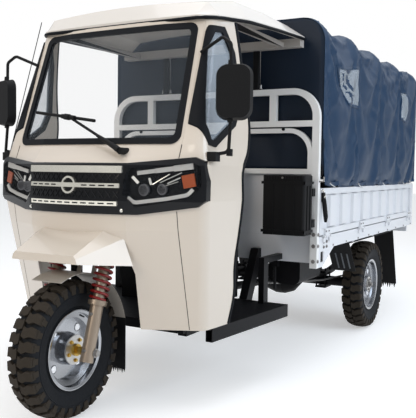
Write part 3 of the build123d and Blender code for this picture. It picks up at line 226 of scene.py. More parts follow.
class Shape:
    """Vertices and faces gathered from simple solids."""

    def __init__(self):
        self.verts = []
        self.faces = []
        self.mats = []

    def add(self, verts, faces, mat=0):
        """Adds points and the faces between them."""
        start = len(self.verts)
        self.verts += [tuple(v) for v in verts]
        self.faces += [tuple(start + i for i in face) for face in faces]
        self.mats += [mat] * len(faces)

    def ring_solid(self, rings, mat=0, closed=False):
        """Skin through rings of points that all have one length, with end caps unless it is closed."""
        count = len(rings[0])
        faces = []
        for i in range(len(rings) if closed else len(rings) - 1):
            a, b = i * count, (i + 1) % len(rings) * count
            for j in range(count):
                k = (j + 1) % count
                faces.append((a + j, a + k, b + k, b + j))
        if not closed:
            last = (len(rings) - 1) * count
            faces.append(tuple(range(count))[::-1])
            faces.append(tuple(last + j for j in range(count)))
        self.add([p for ring in rings for p in ring], faces, mat)

    def tube(self, points, radius, sides=12, mat=0, closed=False):
        """Round tube along points; radius may be one number or one for each point."""
        points = [Vector(p) for p in points]
        count = len(points)
        radii = radius if hasattr(radius, "__len__") else [radius] * count
        rings = []
        normal = None
        for i, p in enumerate(points):
            before = points[i - 1] if i or closed else p
            after = points[(i + 1) % count] if i + 1 < count or closed else p
            direction = (after - before).normalized()
            if normal is None:
                normal = direction.orthogonal().normalized()
            normal = (normal - direction * normal.dot(direction)).normalized()
            side = direction.cross(normal)
            rings.append([p + (normal * cos(t) + side * sin(t)) * radii[i] for t in ringed(sides)])
        self.ring_solid(rings, mat, closed)

    def block(self, corner, opposite, mat=0):
        """Box between two opposite corners."""
        (x0, x1), (y0, y1), (z0, z1) = (sorted(pair) for pair in zip(corner, opposite))
        self.ring_solid([[(x0, y0, z), (x1, y0, z), (x1, y1, z), (x0, y1, z)] for z in (z0, z1)], mat)

    def disc(self, centre, axis, radius, thickness, sides=16, mat=0):
        """Short cylinder from centre along axis."""
        axis = Vector(axis).normalized()
        self.tube([Vector(centre), Vector(centre) + axis * thickness], radius, sides, mat)

    def bolt(self, centre, axis, radius, thickness, mat=0):
        """Hexagon head on a washer."""
        axis = Vector(axis).normalized()
        centre = Vector(centre)
        self.disc(centre, axis, radius * 1.35, thickness * 0.25, 16, mat)
        self.disc(centre + axis * thickness * 0.2, axis, radius, thickness * 0.8, 6, mat)

    def teeth(self, start, pitch, y, top, tips):
        """Row of pointed teeth, 3 mm thick, that hang from a height down to each tip's height."""
        for i, tip in enumerate(tips):
            a, b = start + pitch * i, start + pitch * (i + 1)
            outline = ((a, top), (b, top), ((a + b) / 2, tip))
            verts = [(x, y + step, z) for step in (-0.003, 0) for x, z in outline]
            self.add(verts, [(0, 1, 2), (5, 4, 3), (0, 2, 5, 3), (2, 1, 4, 5), (1, 0, 3, 4)])

    def mesh(self, name, weld=0.0):
        """Mesh of the shape, with points nearer than weld joined or with its faces turned outward."""
        mesh = from_data(name, self.verts, self.faces)
        mesh.polygons.foreach_set("material_index", self.mats)
        if weld:
            edit(mesh, lambda bm: bmesh.ops.remove_doubles(bm, verts=bm.verts, dist=weld))
        else:
            edit(mesh, lambda bm: bmesh.ops.recalc_face_normals(bm, faces=bm.faces))
        return mesh

    def piece(self, name, mat, slot, smooth=35, body="chassis"):
        """Makes the shape a piece that rides on a body."""
        return place(name, self.mesh(name), mat, body, smooth)


# Surfaces of the solids


def drop(node, mat):
    """Gives a CAD node its surface."""
    data = nodes[node].data
    data.materials.clear()
    data.materials.append(mat)
    for face in data.polygons:
        face.material_index = 0
    return data


def two_tone(node, first, second, is_second):
    """Gives a CAD node a second surface where a test of a face's centre holds."""
    data = drop(node, first)
    data.materials.append(second)
    for face in data.polygons:
        face.material_index = int(is_second(face.center))


SURFACES = (
    (BLACK, "antenna chassis_frame floor_pan fuel_tank handlebar leaf_springs prop_shaft rear_axle seat_base"),
    (BLACK, "tarp_hoops"),
    (WHITE, "bed_floor bed_front_wall side_panel_left side_panel_right tailgate"),
    (HOOP_PAINT, "bed_hoop"),
    (IVORY, "cab_corner_panel_left cab_corner_panel_right cab_front_panel front_visor"),
    (CREAM, "roof_canopy"),
    (PLASTIC, "dashboard mirrors rear_mudguards tool_box tool_box_lid wiper"),
    (CAST, "engine"),
    (STEEL, "exhaust"),
    (CHAMPAGNE, "fork"),
    (RED, "fork_springs"),
    (RIM, "front_rim rear_rim_left rear_rim_right"),
    (TYRE, "front_tyre rear_tyre_left rear_tyre_right"),
    (BRIGHT, "grille_bars"),
    (GLOSS, "grille_panel"),
    (SMOKE, "headlamps"),
    (TINTED, "quarter_windows"),
    (CLEAR, "windscreen_glass"),
    (RUBBER, "window_seals"),
    (SEAT, "seat"),
    (RED_LENS, "tail_lamps"),
    (FILM, "tarp_windows"),
    (TARP, "tarpaulin"),
)
for surface, names in SURFACES:
    for node_name in names.split():
        drop(node_name, surface)
# The roof frame's top bars take the roof lining's cream, darkened with painted shade
two_tone("roof_frame", BLACK, SHADED_CREAM, lambda p: p.z > 1.60 and p.y > aft(0.90))
# The front mudguard's sheet is beige, and only its flap below is black
two_tone("front_mudguard", BEIGE, PLASTIC, lambda p: p.z < 0.36 and p.y > FRONT_Y)

# Wheels: carcass with chevron lugs, and the rims' fittings

LUG_COUNT = 31
# Share of its pitch that a lug's outline is drawn in
LUG_FILL = 0.97
# Lug outline on one half of the tread: across from the middle, then along the tread in shares of a pitch
LUG_OUTLINE = ((0.0015, 0.16), (0.020, 0.00), (0.037, 0.17), (0.0615, 0.12),
               (0.0615, 0.80), (0.039, 0.88), (0.021, 0.70), (0.0045, 0.84))
# Shoulder bar's section and carcass section: across from the middle, then radius
SHOULDER_BAR = ((0.0625, 0.262), (0.0635, 0.234), (0.056, 0.232), (0.054, 0.262))
CARCASS = ((-0.042, 0.1583), (-0.052, 0.186), (-0.0605, 0.222), (-0.0585, 0.252),
           (-0.045, 0.2665), (-0.020, 0.2695))
BEAD_SEAT = ((0.036, 0.1583), (-0.036, 0.1583))
SIDEWALL_RINGS = ((0.0495, 0.174), (0.0605, 0.226))
TREAD_HALF = 0.0615
CROWN_DROP = 0.013


def crown(across):
    """Radius of the lugs' tops across the tread."""
    return WHEEL_Z - CROWN_DROP * (across / TREAD_HALF) ** 2.4


def around_wheel(x, axle_y, outward=1):
    """Function from a place across a wheel, out from its axle and round it to a point."""
    centre = Vector((x, axle_y, WHEEL_Z))

    def at(across, radius, angle):
        return centre + Vector((outward * across, radius * sin(angle), radius * cos(angle)))

    return at


def lug(shape, at, side, base, pitch):
    """One lug on a half of the tread and its bar down the sidewall."""
    top, foot = [], []
    for across, share in LUG_OUTLINE:
        angle = base + share * pitch * LUG_FILL
        outer = across > 0.05
        top.append(at(side * (across - (0.0016 if outer else 0)), crown(across), angle))
        foot.append(at(side * across, 0.250 if outer else 0.264, angle))
    shape.ring_solid([foot, top], 1)
    ends = (base + 0.22 * pitch, base + 0.68 * pitch)
    shape.ring_solid([[at(side * a, r, angle) for a, r in SHOULDER_BAR] for angle in ends], 1)


def tyre(name, node, body, x, axle_y):
    """Off-road tyre around a wheel's axle, with raised rings on its sidewalls."""
    shape = Shape()
    at = around_wheel(x, axle_y)
    profile = CARCASS + tuple((-a, r) for a, r in reversed(CARCASS)) + BEAD_SEAT
    shape.ring_solid([[at(a, r, angle) for a, r in profile] for angle in ringed(72)], closed=True)
    pitch = TURN / LUG_COUNT
    for i in range(LUG_COUNT):
        lug(shape, at, 1, pitch * i, pitch)
        lug(shape, at, -1, pitch * (i + 0.5), pitch)
    for side in (1, -1):
        for across, radius in SIDEWALL_RINGS:
            shape.tube([at(side * across, radius, angle) for angle in ringed(48)], 0.0016, 6, closed=True)
    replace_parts(shape.piece(name, [TYRE, TREAD], "tyre_rubber", 40, body), node)


VENT_RADIUS = 0.103
VENT_HALF = 0.016
# Angle round the axle from a vent's middle to its edge
VENT_SWEEP = 0.155


def wheel_details(name, body, x, axle_y, outward, hub_radius, hub_half, fasteners, disc_face):
    """Hub cover, axle nut, studs close round the hub, four round vents in the disc shut by glowing discs of
    painted light, and a valve.
    """
    shape = Shape()
    at = around_wheel(x, axle_y, outward)
    axis = (outward, 0, 0)
    shape.disc(at(hub_half - 0.003, 0, 0), axis, hub_radius * 0.98, 0.007, 36, 3)
    shape.disc(at(hub_half + 0.004, 0, 0), axis, hub_radius * 0.40, 0.012, 24, 1)
    shape.disc(at(hub_half + 0.012, 0, 0), axis, hub_radius * 0.26, 0.014, 6, 1)
    for i in range(5):
        shape.bolt(at(hub_half + 0.003, hub_radius * 0.70, TURN * (i + 0.5) / 5), axis, 0.0065, 0.009, 1)
    for i in range(4):
        angle = TURN * (i + 0.5) / 4
        rolled_edge = [
            at(disc_face, VENT_RADIUS + VENT_HALF * cos(t), angle + VENT_SWEEP * sin(t))
            for t in ringed(24)
        ]
        shape.tube(rolled_edge, 0.0022, 8, closed=True)
        # Glowing disc of painted light in the vent, standing in for the backdrop seen through it
        shape.disc(at(disc_face - 0.0008, VENT_RADIUS, angle), axis, VENT_HALF - 0.0008, 0.0014, 24, 2)
    shape.tube([at(0.036, 0.142, 0.3), at(0.060, 0.136, 0.3)], [0.004, 0.003], 10, 4)
    shape.piece(name, [RIM, fasteners, VENT_GLOW, HUB, BLACK], "rim_silver", body=body)


tyre("front_tyre_tread", "front_tyre", "front_wheel", 0, FRONT_Y)
tyre("rear_tyre_tread_left", "rear_tyre_left", "rear_wheel_left", REAR_X, REAR_Y)
tyre("rear_tyre_tread_right", "rear_tyre_right", "rear_wheel_right", -REAR_X, REAR_Y)
wheel_details("front_hub_left", "front_wheel", 0, FRONT_Y, 1, 0.062, 0.044, ZINC, -0.0035)
wheel_details("front_hub_right", "front_wheel", 0, FRONT_Y, -1, 0.062, 0.044, ZINC, 0.0125)
wheel_details("rear_hub_left", "rear_wheel_left", REAR_X, REAR_Y, 1, 0.050, 0.036, STEEL, 0.0085)
wheel_details("rear_hub_right", "rear_wheel_right", -REAR_X, REAR_Y, -1, 0.050, 0.036, STEEL, 0.0085)

# Fork: coil springs, fittings and collars

STEER = Vector((0, sin(RAKE), cos(RAKE)))
LEG_FOOT = Vector((0, FRONT_Y - 0.015, WHEEL_Z))
LEG_X = 0.125
COIL_RADIUS = 0.0345
COIL_WIRE = 0.0056
COIL_TURNS = 8.5
COIL_STEPS = 28
COIL_LOW, COIL_HIGH = 0.492, 0.688
# Turned parts on a leg: low end, high end, radius, sides, material
COLLARS = (
    (0.486, 0.700, 0.0235, 24, 1),
    (0.474, 0.4885, 0.0395, 28, 1),
    (0.690, 0.702, 0.0415, 28, 2),
    (0.250, 0.262, 0.0285, 24, 1),
)


def leg_point(x, height, forward=0.0):
    """Point on a fork leg's axis at a height above the road."""
    p = LEG_FOOT + STEER * ((height - LEG_FOOT.z) / STEER.z)
    return Vector((x, p.y - forward, p.z))


springs, fork_bits = Shape(), Shape()
count = int(COIL_TURNS * COIL_STEPS)
for side in (-1, 1):
    x = side * LEG_X
    line = []
    for i in range(count + 1):
        angle = TURN * i / COIL_STEPS
        base = leg_point(x, COIL_LOW + (COIL_HIGH - COIL_LOW) * i / count)
        round_leg = Vector((1, 0, 0)) * cos(angle) + Vector((1, 0, 0)).cross(STEER) * sin(angle)
        line.append(base + round_leg * COIL_RADIUS)
    springs.tube(line, COIL_WIRE, 8)
    for low, high, radius, sides, mat in COLLARS:
        fork_bits.tube([leg_point(x, low), leg_point(x, high)], radius, sides, mat)
    fork_bits.bolt((x + side * 0.027, FRONT_Y, WHEEL_Z), (side, 0, 0), 0.014, 0.014, 3)
    fork_bits.tube([(side * 0.073, FRONT_Y, WHEEL_Z), (side * 0.102, FRONT_Y, WHEEL_Z)], 0.0165, 20, 4)
    for height in (0.30, 0.44):
        fork_bits.bolt(leg_point(x, height, 0.027), FORWARD, 0.006, 0.008, 3)
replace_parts(springs.piece("fork_coils", [RED], "spring_red", 60, "steering"), "fork_springs")
fork_bits.piece("fork_fittings", [CHROME, CHAMPAGNE, BLACK, STEEL, ZINC], "fork_champagne", 40, "steering")

# Saw-toothed edge under the front mud flap
FLAP_WIDTH = 0.152
FLAP_TEETH = 13
flap = Shape()
tips = [0.110 if i % 2 else 0.116 for i in range(FLAP_TEETH)]
flap.teeth(-FLAP_WIDTH / 2, FLAP_WIDTH / FLAP_TEETH, FRONT_Y + 0.318 * cos(radians(12)), 0.134, tips)
flap.piece("front_flap_teeth", PLASTIC, "black_plastic", 20, "steering")

# Reading places off the solids' surfaces


def tree_of(*names):
    """Ray-cast tree over some CAD nodes."""
    verts, faces = [], []
    for name in names:
        mesh = nodes[name].data
        start = len(verts)
        verts += [v.co.copy() for v in mesh.vertices]
        faces += [tuple(start + i for i in p.vertices) for p in mesh.polygons]
    return BVHTree.FromPolygons(verts, faces)


CAB = tree_of("cab_front_panel", "cab_corner_panel_left", "cab_corner_panel_right")
LAMPS = tree_of("headlamps")
BAND = tree_of("grille_panel")
BARS = tree_of("grille_bars")
WIPER = tree_of("wiper")
GUARDS = tree_of("rear_mudguards")


def front_hit(tree, x, z):
    """Point on a surface seen from the front at x and z, or None."""
    return tree.ray_cast(Vector((x, -2.2, z)), Vector((0, 1, 0)))[0]


def side_hit(tree, y, z, side):
    """Point on a surface seen from one side at y and z, or None."""
    return tree.ray_cast(Vector((side * 1.2, y, z)), Vector((-side, 0, 0)))[0]


def spread(points, step=0.012):
    """The same polyline with a point at least every step."""
    line = []
    for a, b in zip(points, points[1:]):
        a, b = Vector(a), Vector(b)
        count = max(1, int((b - a).length / step))
        line += [a + (b - a) * i / count for i in range(count)]
    return line + [Vector(points[-1])]


def rounded(points, radius):
    """Polyline with its corners replaced by short arcs."""
    pts = [Vector(p) for p in points]
    line = [pts[0]]
    for a, p, b in zip(pts, pts[1:], pts[2:]):
        r = min(radius, (a - p).length * 0.45, (b - p).length * 0.45)
        start, end = p + (a - p).normalized() * r, p + (b - p).normalized() * r
        line += [start.lerp(p, t).lerp(p.lerp(end, t), t) for t in (0, 0.25, 0.5, 0.75, 1)]
    return line + [pts[-1]]


# Door edge trim and the seal under the roof

# Places behind the front axle and heights of the cab's door edge
DOOR_EDGE = ((0.464, 0.361), (0.496, 0.490), (0.468, 0.620), (0.490, 0.770), (0.496, 0.893),
             (0.486, 1.035), (0.545, 1.100), (0.566, 1.217), (0.530, 1.421), (0.512, 1.662))
# Places from the middle, behind the front axle and heights of the roof's lower edge
ROOF_EDGE = ((0.425, 0.345, 1.664), (0.480, 0.405, 1.668), (0.528, 0.600, 1.682), (0.550, 0.900, 1.695),
             (0.560, 1.182, 1.706))
trim = Shape()
for side in (1, -1):
    line = []
    for p in spread(rounded([(aft(y), z, 0) for y, z in DOOR_EDGE], 0.06), 0.015):
        spot = side_hit(CAB, p.x - 0.004, p.y, side)
        if spot:
            line.append((spot.x - side * 0.005, p.x - 0.001, p.y))
    trim.tube(line, 0.0105, 10)
trim.piece("door_edge_trim", RUBBER, "black_rubber", 60)

roof_seal = Shape()
edge = [(x, aft(y), z - 0.001) for x, y, z in ROOF_EDGE]
line = [(-x, y, z) for x, y, z in reversed(edge)] + edge
roof_seal.tube(spread(rounded(line, 0.03), 0.02), 0.0075, 8)
roof_seal.piece("roof_seal", RUBBER, "black_rubber", 60)

# Dark bead in the seams between the cab's panels, below and above the grille band
SEAM_X = 0.4363
SEAM_STEPS = 30
beads = Shape()
for side in (1, -1):
    for z0, z1 in ((0.364, 0.862), (1.072, 1.128)):
        line = []
        for i in range(SEAM_STEPS + 1):
            z = z0 + (z1 - z0) * i / SEAM_STEPS
            spot = front_hit(CAB, side * (SEAM_X + 0.0032), z)
            if spot:
                line.append((side * SEAM_X, spot.y - 0.0004, z))
        if len(line) > 1:
            beads.tube(line, 0.0019, 6)
beads.piece("seam_beads", RUBBER, "black_rubber", 60)

# Headlamps: cover, housing, light guides, projectors and turn lamp

cover, housing = Shape(), Shape()
lamp_mesh = nodes["headlamps"].data
for face in lamp_mesh.polygons:
    foremost = front_hit(LAMPS, face.center.x, face.center.z)
    is_cover = foremost is not None and (foremost - face.center).length < 0.004 and face.normal.y < -0.2
    corners = [lamp_mesh.vertices[i].co for i in face.vertices]
    (cover if is_cover else housing).add(corners, [tuple(range(len(corners)))])
place("headlamp_covers", cover.mesh("headlamp_covers", 0.0001), SMOKE, "chassis", 30)
shell = housing.mesh("headlamp_housings", 0.0001)
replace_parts(place("headlamp_housings", shell, GLOSS, "chassis", 30), "headlamps")


def ribbon(shape, tree, path, width, depth, lift, mat):
    """Flat bar along a front-view path, set on a surface at a lift."""
    rings = []
    pts = spread([(x, z, 0) for x, z in path], 0.01)
    for i, p in enumerate(pts):
        way = (pts[min(len(pts) - 1, i + 1)] - pts[max(0, i - 1)]).normalized()
        across = Vector((-way.y, way.x, 0)) * width / 2
        spot = front_hit(tree, p.x, p.y)
        if spot:
            a, b, y = p + across, p - across, spot.y - lift
            rings.append([(a.x, y, a.y), (b.x, y, b.y), (b.x, y + depth, b.y), (a.x, y + depth, a.y)])
    if len(rings) > 1:
        shape.ring_solid(rings, mat)


# The top light guide starts at x and z, runs this far, and widens in steps
TOP_GUIDE = (0.290, 1.012)
TOP_GUIDE_RUN = (0.206, 0.030)
TOP_GUIDE_STEPS = ((0.0, 0.016), (0.33, 0.019), (0.66, 0.024))
LOW_GUIDE = ((0.257, 0.914), (0.282, 0.894), (0.40, 0.911), (0.480, 0.928), (0.498, 0.950))
TURN_LAMP = ((0.459, 0.978), (0.504, 0.988))
# Reflector facets and ribs that catch the light: both ends' x and z, then the width
FACETS = (
    (0.268, 0.998, 0.292, 0.972, 0.013),
    (0.332, 0.993, 0.340, 0.966, 0.011),
    (0.345, 0.968, 0.408, 1.010, 0.0035),
    (0.372, 0.975, 0.452, 1.016, 0.0035),
    (0.400, 0.972, 0.448, 0.996, 0.0050),
    (0.385, 0.960, 0.440, 0.980, 0.0030),
)
# Projectors: x, z and radius
PROJECTORS = ((0.310, 0.945, 0.024), (0.378, 0.948, 0.022))

lamp_parts = Shape()
for side in (1, -1):
    for share, width in TOP_GUIDE_STEPS:
        ends = [
            (side * (TOP_GUIDE[0] + TOP_GUIDE_RUN[0] * s), TOP_GUIDE[1] + TOP_GUIDE_RUN[1] * s)
            for s in (share, share + 0.345)
        ]
        ribbon(lamp_parts, LAMPS, ends, width, 0.006, -0.010, 0)
    low_band = rounded([(side * x, z, 0) for x, z in LOW_GUIDE], 0.012)
    ribbon(lamp_parts, LAMPS, [(p.x, p.y) for p in low_band], 0.015, 0.006, -0.010, 0)
    ribbon(lamp_parts, LAMPS, [(side * x, z) for x, z in TURN_LAMP], 0.052, 0.006, -0.012, 1)
    for x0, z0, x1, z1, width in FACETS:
        ribbon(lamp_parts, LAMPS, [(side * x0, z0), (side * x1, z1)], width, 0.004, -0.018, 2)
    for x, z, radius in PROJECTORS:
        base = Vector((side * x, front_hit(LAMPS, side * x, z).y + 0.034, z))
        lamp_parts.disc(base, FORWARD, radius, 0.012, 28, 4)
        lamp_parts.disc(base + Vector((0, -0.012, 0)), FORWARD, radius * 0.78, 0.004, 28, 3)
lamp_parts.piece("headlamp_inners", [GUIDE, AMBER, CHROME, SMOKE, CAST], "lamp_smoke", 30)

# Grille: mesh lines, screws and the bars' cut-outs

grille, slots = Shape(), Shape()
for z in (0.925, 0.993):
    for i in range(-7, 8):
        x = i * 0.031
        for rise in (0.014, -0.014):
            ribbon(grille, BAND, [(x - 0.011, z - rise), (x + 0.011, z + rise)], 0.0035, 0.004, 0.003, 0)
for x in (-0.24, 0.24):
    spot = front_hit(BAND, x, 0.862)
    if spot:
        grille.bolt(spot, FORWARD, 0.0055, 0.005, 1)
grille.piece("grille_mesh", [GLOSS, CHROME], "gloss_black", 30)
for z in (0.961, 0.889):
    for i in range(-5, 6):
        x = i * 0.040
        behind_ring = abs(x) < 0.05 and z > 0.95
        if not behind_ring:
            ribbon(slots, BARS, [(x - 0.013, z), (x + 0.013, z)], 0.0055, 0.002, 0.0008, 0)
slots.piece("grille_bar_slots", GLOSS, "gloss_black", 30)

# Wiper: blade holder, blade rubber and the arm's thick root

# Ends of the blade and of the arm, as x and z
BLADE = (Vector((-0.319, 0, 1.276)), Vector((0.022, 0, 1.230)))
ARM = (Vector((0.215, 0, 1.100)), Vector((-0.121, 0, 1.249)))


def on_wiper(ends, share, lift):
    """Point in front of the wiper's solid at a share of the way between two ends."""
    p = ends[0].lerp(ends[1], share)
    spot = front_hit(WIPER, p.x, p.z)
    return None if spot is None else Vector((p.x, spot.y - lift, p.z))


wiper_bits = Shape()
for shares, radius in (((0.47, 0.69), 0.0105), ((0.52, 0.60), 0.0135)):
    ends = [on_wiper(BLADE, share, 0.001) for share in shares]
    if all(ends):
        wiper_bits.tube(ends, radius, 12)
spots = [on_wiper(ARM, share, -0.004) for share in (0.02, 0.16, 0.30, 0.44)]
spots = [spot for spot in spots if spot]
if len(spots) > 1:
    wiper_bits.tube(spots, [0.013, 0.0115, 0.0095, 0.007][: len(spots)], 12)
wiper_bits.piece("wiper_fittings", PLASTIC, "black_plastic", 40)

# Mirrors: glasses on the driver's side, joints on their stems and feet on the cab

MIRROR_TURN = radians(20)
MIRROR_CENTRE = (0.612, aft(0.294), 1.339)
# Half width and half height of the glass without its corners, and the corners' radius
MIRROR_INNER = (0.026, 0.063)
MIRROR_CORNER = 0.042
STEM_X = 0.606
# Joints on the stem: low end, high end, radius
STEM_JOINTS = ((1.085, 1.112, 0.013), (1.218, 1.236, 0.011), (1.443, 1.462, 0.011))

mirror_glass, mirror_joints = Shape(), Shape()
for side in (1, -1):
    out = Vector((side * sin(MIRROR_TURN), -cos(MIRROR_TURN), 0))
    across = Vector((cos(MIRROR_TURN), side * sin(MIRROR_TURN), 0))
    x, y, z = MIRROR_CENTRE
    centre = Vector((side * x, y, z)) - out * 0.0012
    loop = []
    for cx, cz, start in ((1, 1, 0), (-1, 1, 90), (-1, -1, 180), (1, -1, 270)):
        for k in range(7):
            t = radians(start + 15 * k)
            rise = cz * MIRROR_INNER[1] + MIRROR_CORNER * sin(t)
            reach = cx * MIRROR_INNER[0] + MIRROR_CORNER * cos(t)
            loop.append(centre + across * reach + Vector((0, 0, rise)))
    mirror_glass.ring_solid([loop, [p + out * 0.0016 for p in loop]])
    for z0, z1, radius in STEM_JOINTS:
        mirror_joints.tube([(side * STEM_X, aft(0.270), z0), (side * STEM_X, aft(0.272), z1)], radius, 16)
    mirror_joints.block((side * 0.536, aft(0.212), 1.062), (side * 0.575, aft(0.250), 1.100))
mirror_glass.piece("mirror_glasses", MIRROR, "chrome")
mirror_joints.piece("mirror_joints", PLASTIC, "black_plastic", 40)

# Bed: bolts on posts and rails, rope hooks, pads on the hoop, latches and hinges

BED_FRONT = aft(1.186)
POST_X = 0.650
HOOP_TOP = 1.459
PAD_TOP = 1.463
HINGE_X = 0.6590
HINGE_MIDDLE = 0.723
HINGE_SPREAD = 1.92
HINGES = [HINGE_MIDDLE + (i / 3 - 0.5) * HINGE_SPREAD for i in range(4)]
# Latch parts as steps outward from its foot, steps aft and heights
LATCH_X = 0.652
LEVER = ((0.006, 0, 0.905), (0.010, 0.004, 0.868), (0.012, 0.010, 0.83),
         (0.014, 0.020, 0.79), (0.013, 0.022, 0.762))
LEVER_RADII = (0.010, 0.012, 0.0125, 0.012, 0.007)
LATCH_HOOK = ((0.004, 0, 0.902), (0.008, -0.004, 0.925), (0.008, -0.016, 0.934), (0.006, -0.026, 0.926))

bed_bits = Shape()
for side in (1, -1):
    x = side * POST_X
    y = BED_FRONT + 0.015
    out = (side, 0, 0)
    for z in (0.560, 0.640, 0.700):
        bed_bits.bolt((side * 0.631, BED_FRONT, z), FORWARD, 0.0075, 0.007)
        bed_bits.bolt((x, y, z), out, 0.0075, 0.006)
    for step in (0.105, 0.150):
        for z in (0.655, 0.628):
            bed_bits.bolt((x, BED_FRONT + step, z), out, 0.0068, 0.006)
    bed_bits.tube([(x, y, 0.975), (x + side * 0.024, y, 0.978), (x + side * 0.026, y, 1.000)], 0.0045, 8)
    for i in range(9):
        bed_bits.bolt((x, BED_FRONT + 0.26 + i * 0.235, 0.626), out, 0.0048, 0.004)
    foot_x = side * 0.285
    pad = ((foot_x - 0.033, BED_FRONT - 0.001, HOOP_TOP), (foot_x + 0.033, BED_FRONT + 0.031, PAD_TOP))
    bed_bits.block(*pad, 1)
    for step in (-0.025, 0.025):
        bed_bits.bolt((foot_x + step, y, PAD_TOP), (0, 0, 1), 0.0065, 0.022)
    bed_bits.disc((side * 0.452, BED_FRONT + 0.002, 1.247), FORWARD, 0.0085, 0.006, 16, 1)
    # Dark plate of painted shade behind the gusset's opening, where the opening shows dark
    bed_bits.block((side * 0.641, aft(1.238), 0.538), (side * 0.6445, aft(1.300), 0.618), 1)
bed_bits.piece("bed_fittings", [STEEL, BLACK], "steel")

for side, hand in ((1, "left"), (-1, "right")):
    panel = f"side_panel_{hand}"
    out = (side, 0, 0)
    x = side * LATCH_X
    y = BED_FRONT + 0.062
    latch, knuckles, pads = Shape(), Shape(), Shape()
    latch.tube([(x + side * a, y + b, z) for a, b, z in LEVER], LEVER_RADII, 12)
    latch.block((x, y - 0.014, 0.87), (x + side * 0.012, y + 0.014, 0.918))
    latch.disc((x, y, 0.895), out, 0.009, 0.017, 16, 1)
    latch.tube([(x + side * a, y + b, z) for a, b, z in LATCH_HOOK], 0.004, 8, 1)
    latch.piece(f"side_latch_{hand}", [BLACK, CHROME], "black_metal", body=panel)
    for hinge_y in HINGES:
        for step in (-0.022, 0.022):
            knuckles.bolt((side * (HINGE_X + 0.0005), hinge_y + step, 0.712), out, 0.0042, 0.004)
        for step in (-0.048, 0.048):
            y0, y1 = hinge_y + step - 0.010, hinge_y + step + 0.010
            pads.tube([(side * HINGE_X, y0, 0.686), (side * HINGE_X, y1, 0.686)], 0.0072, 14)
            pads.block((side * POST_X, y0, 0.655), (side * (HINGE_X + 0.0005), y1, 0.683))
    knuckles.piece(f"side_hinge_bolts_{hand}", STEEL, "steel", body=panel)
    pads.piece(f"side_hinge_lugs_{hand}", WHITE, "bed_white")

# Rear mudguards: ribs with a painted highlight on the front plates and toothed lower edges on the flaps

FLAP_FOOT = 0.200
RIB_LOW = 0.440
guard_bits = Shape()
for side in (1, -1):
    for x in (0.545, 0.580, 0.615):
        line = [front_hit(GUARDS, side * x, RIB_LOW + 0.014 * i) for i in range(8)]
        line = [p for p in line if p and p.y < REAR_Y]
        if len(line) > 1:
            # Ribs in the lighter grey of the painted highlight
            guard_bits.tube(line, 0.0045, 8, 1)
    tips = [FLAP_FOOT - (0.034 if i % 3 else 0.018) for i in range(8)]
    guard_bits.teeth(side * 0.508, side * 0.0165, aft(2.945), FLAP_FOOT + 0.003, tips)
guard_bits.piece("rear_mudguard_ribs", (PLASTIC, RIB_HIGHLIGHT), "black_plastic", 40)

# Tool box: ribs, rims, lid lip and lock

BOX_X0, BOX_X1 = 0.408, 0.636
BOX_Y0, BOX_Y1 = aft(1.030), aft(1.150)
RIB_Z0, RIB_Z1 = 0.712, 0.955
LIP_Z = 0.9875
LOCK_X = 0.522

box_ribs, lid_rim = Shape(), Shape()
for i in range(3):
    x = BOX_X0 + 0.057 * (i + 1)
    box_ribs.block((x - 0.005, BOX_Y0 - 0.004, RIB_Z0), (x + 0.005, BOX_Y0, RIB_Z1))
for i in range(2):
    y = BOX_Y0 + 0.04 * (i + 1)
    box_ribs.block((BOX_X1, y - 0.004, RIB_Z0), (BOX_X1 + 0.004, y + 0.004, RIB_Z1))
for z in (0.962, 0.716):
    box_ribs.block((BOX_X0 - 0.004, BOX_Y0 - 0.005, z), (BOX_X1 + 0.004, BOX_Y0 + 0.002, z + 0.014))
    box_ribs.block((BOX_X1 - 0.002, BOX_Y0 - 0.005, z), (BOX_X1 + 0.005, BOX_Y1 - 0.004, z + 0.014))
box_ribs.piece("tool_box_ribs", PLASTIC, "black_plastic")
for i in range(14):
    x = BOX_X0 + 0.016 + i * 0.0151
    lid_rim.block((x - 0.0035, BOX_Y0 - 0.0035, LIP_Z), (x + 0.0035, BOX_Y0 + 0.001, LIP_Z + 0.0145))
lid_rim.block((LOCK_X - 0.015, BOX_Y0 - 0.010, LIP_Z), (LOCK_X + 0.015, BOX_Y0 + 0.001, LIP_Z + 0.0125))
lid_rim.disc((LOCK_X, BOX_Y0 - 0.010, LIP_Z + 0.0065), FORWARD, 0.005, 0.004, 16, 1)
lid_rim.piece("tool_box_lid_rim", [PLASTIC, STEEL], "black_plastic", body="tool_box_lid")

# Under the bed: brake rod with its hanger, and the leaf springs' clamps

BRAKE_ROD = ((0.36, 1.10, 0.440), (0.40, 1.35, 0.405), (0.44, 1.90, 0.352), (0.455, 2.26, 0.335))
LEAF_X = 0.30

under = Shape()
under.tube([(x, aft(y), z) for x, y, z in BRAKE_ROD], 0.005, 8)
under.tube([(0.40, aft(1.225), 0.52), (0.40, aft(1.23), 0.39)], 0.009, 10, 1)
under.block((0.380, aft(1.21), 0.515), (0.420, aft(1.25), 0.545), 1)
for x in (-LEAF_X, LEAF_X):
    for y in (REAR_Y - 0.045, REAR_Y + 0.045):
        for bolt_x in (x - 0.031, x + 0.031):
            under.tube([(bolt_x, y, 0.245), (bolt_x, y, 0.372)], 0.0055, 8, 1)
    for z0, z1 in ((0.239, 0.247), (0.342, 0.352)):
        under.block((x - 0.037, REAR_Y - 0.055, z0), (x + 0.037, REAR_Y + 0.055, z1), 1)
under.piece("brake_rod_and_clamps", [STEEL, BLACK], "steel")

# Cushions

SWELL_LIMIT = 0.012
SEAM_DEPTH = 0.008
SEAM_HALF = 0.012


def run_cloth(obj, frames):
    """Runs a cloth object on for some frames and returns its points."""
    for number in range(1, frames + 1):
        bpy.context.scene.frame_set(number)
    shown = obj.evaluated_get(bpy.context.evaluated_depsgraph_get()).to_mesh()
    return [v.co.copy() for v in shown.vertices]


def add_cloth(obj, **values):
    """Cloth modifier with some of its settings."""
    cloth = obj.modifiers.new("Cloth", "CLOTH")
    for key, value in values.items():
        setattr(cloth.settings, key, value)
    return cloth


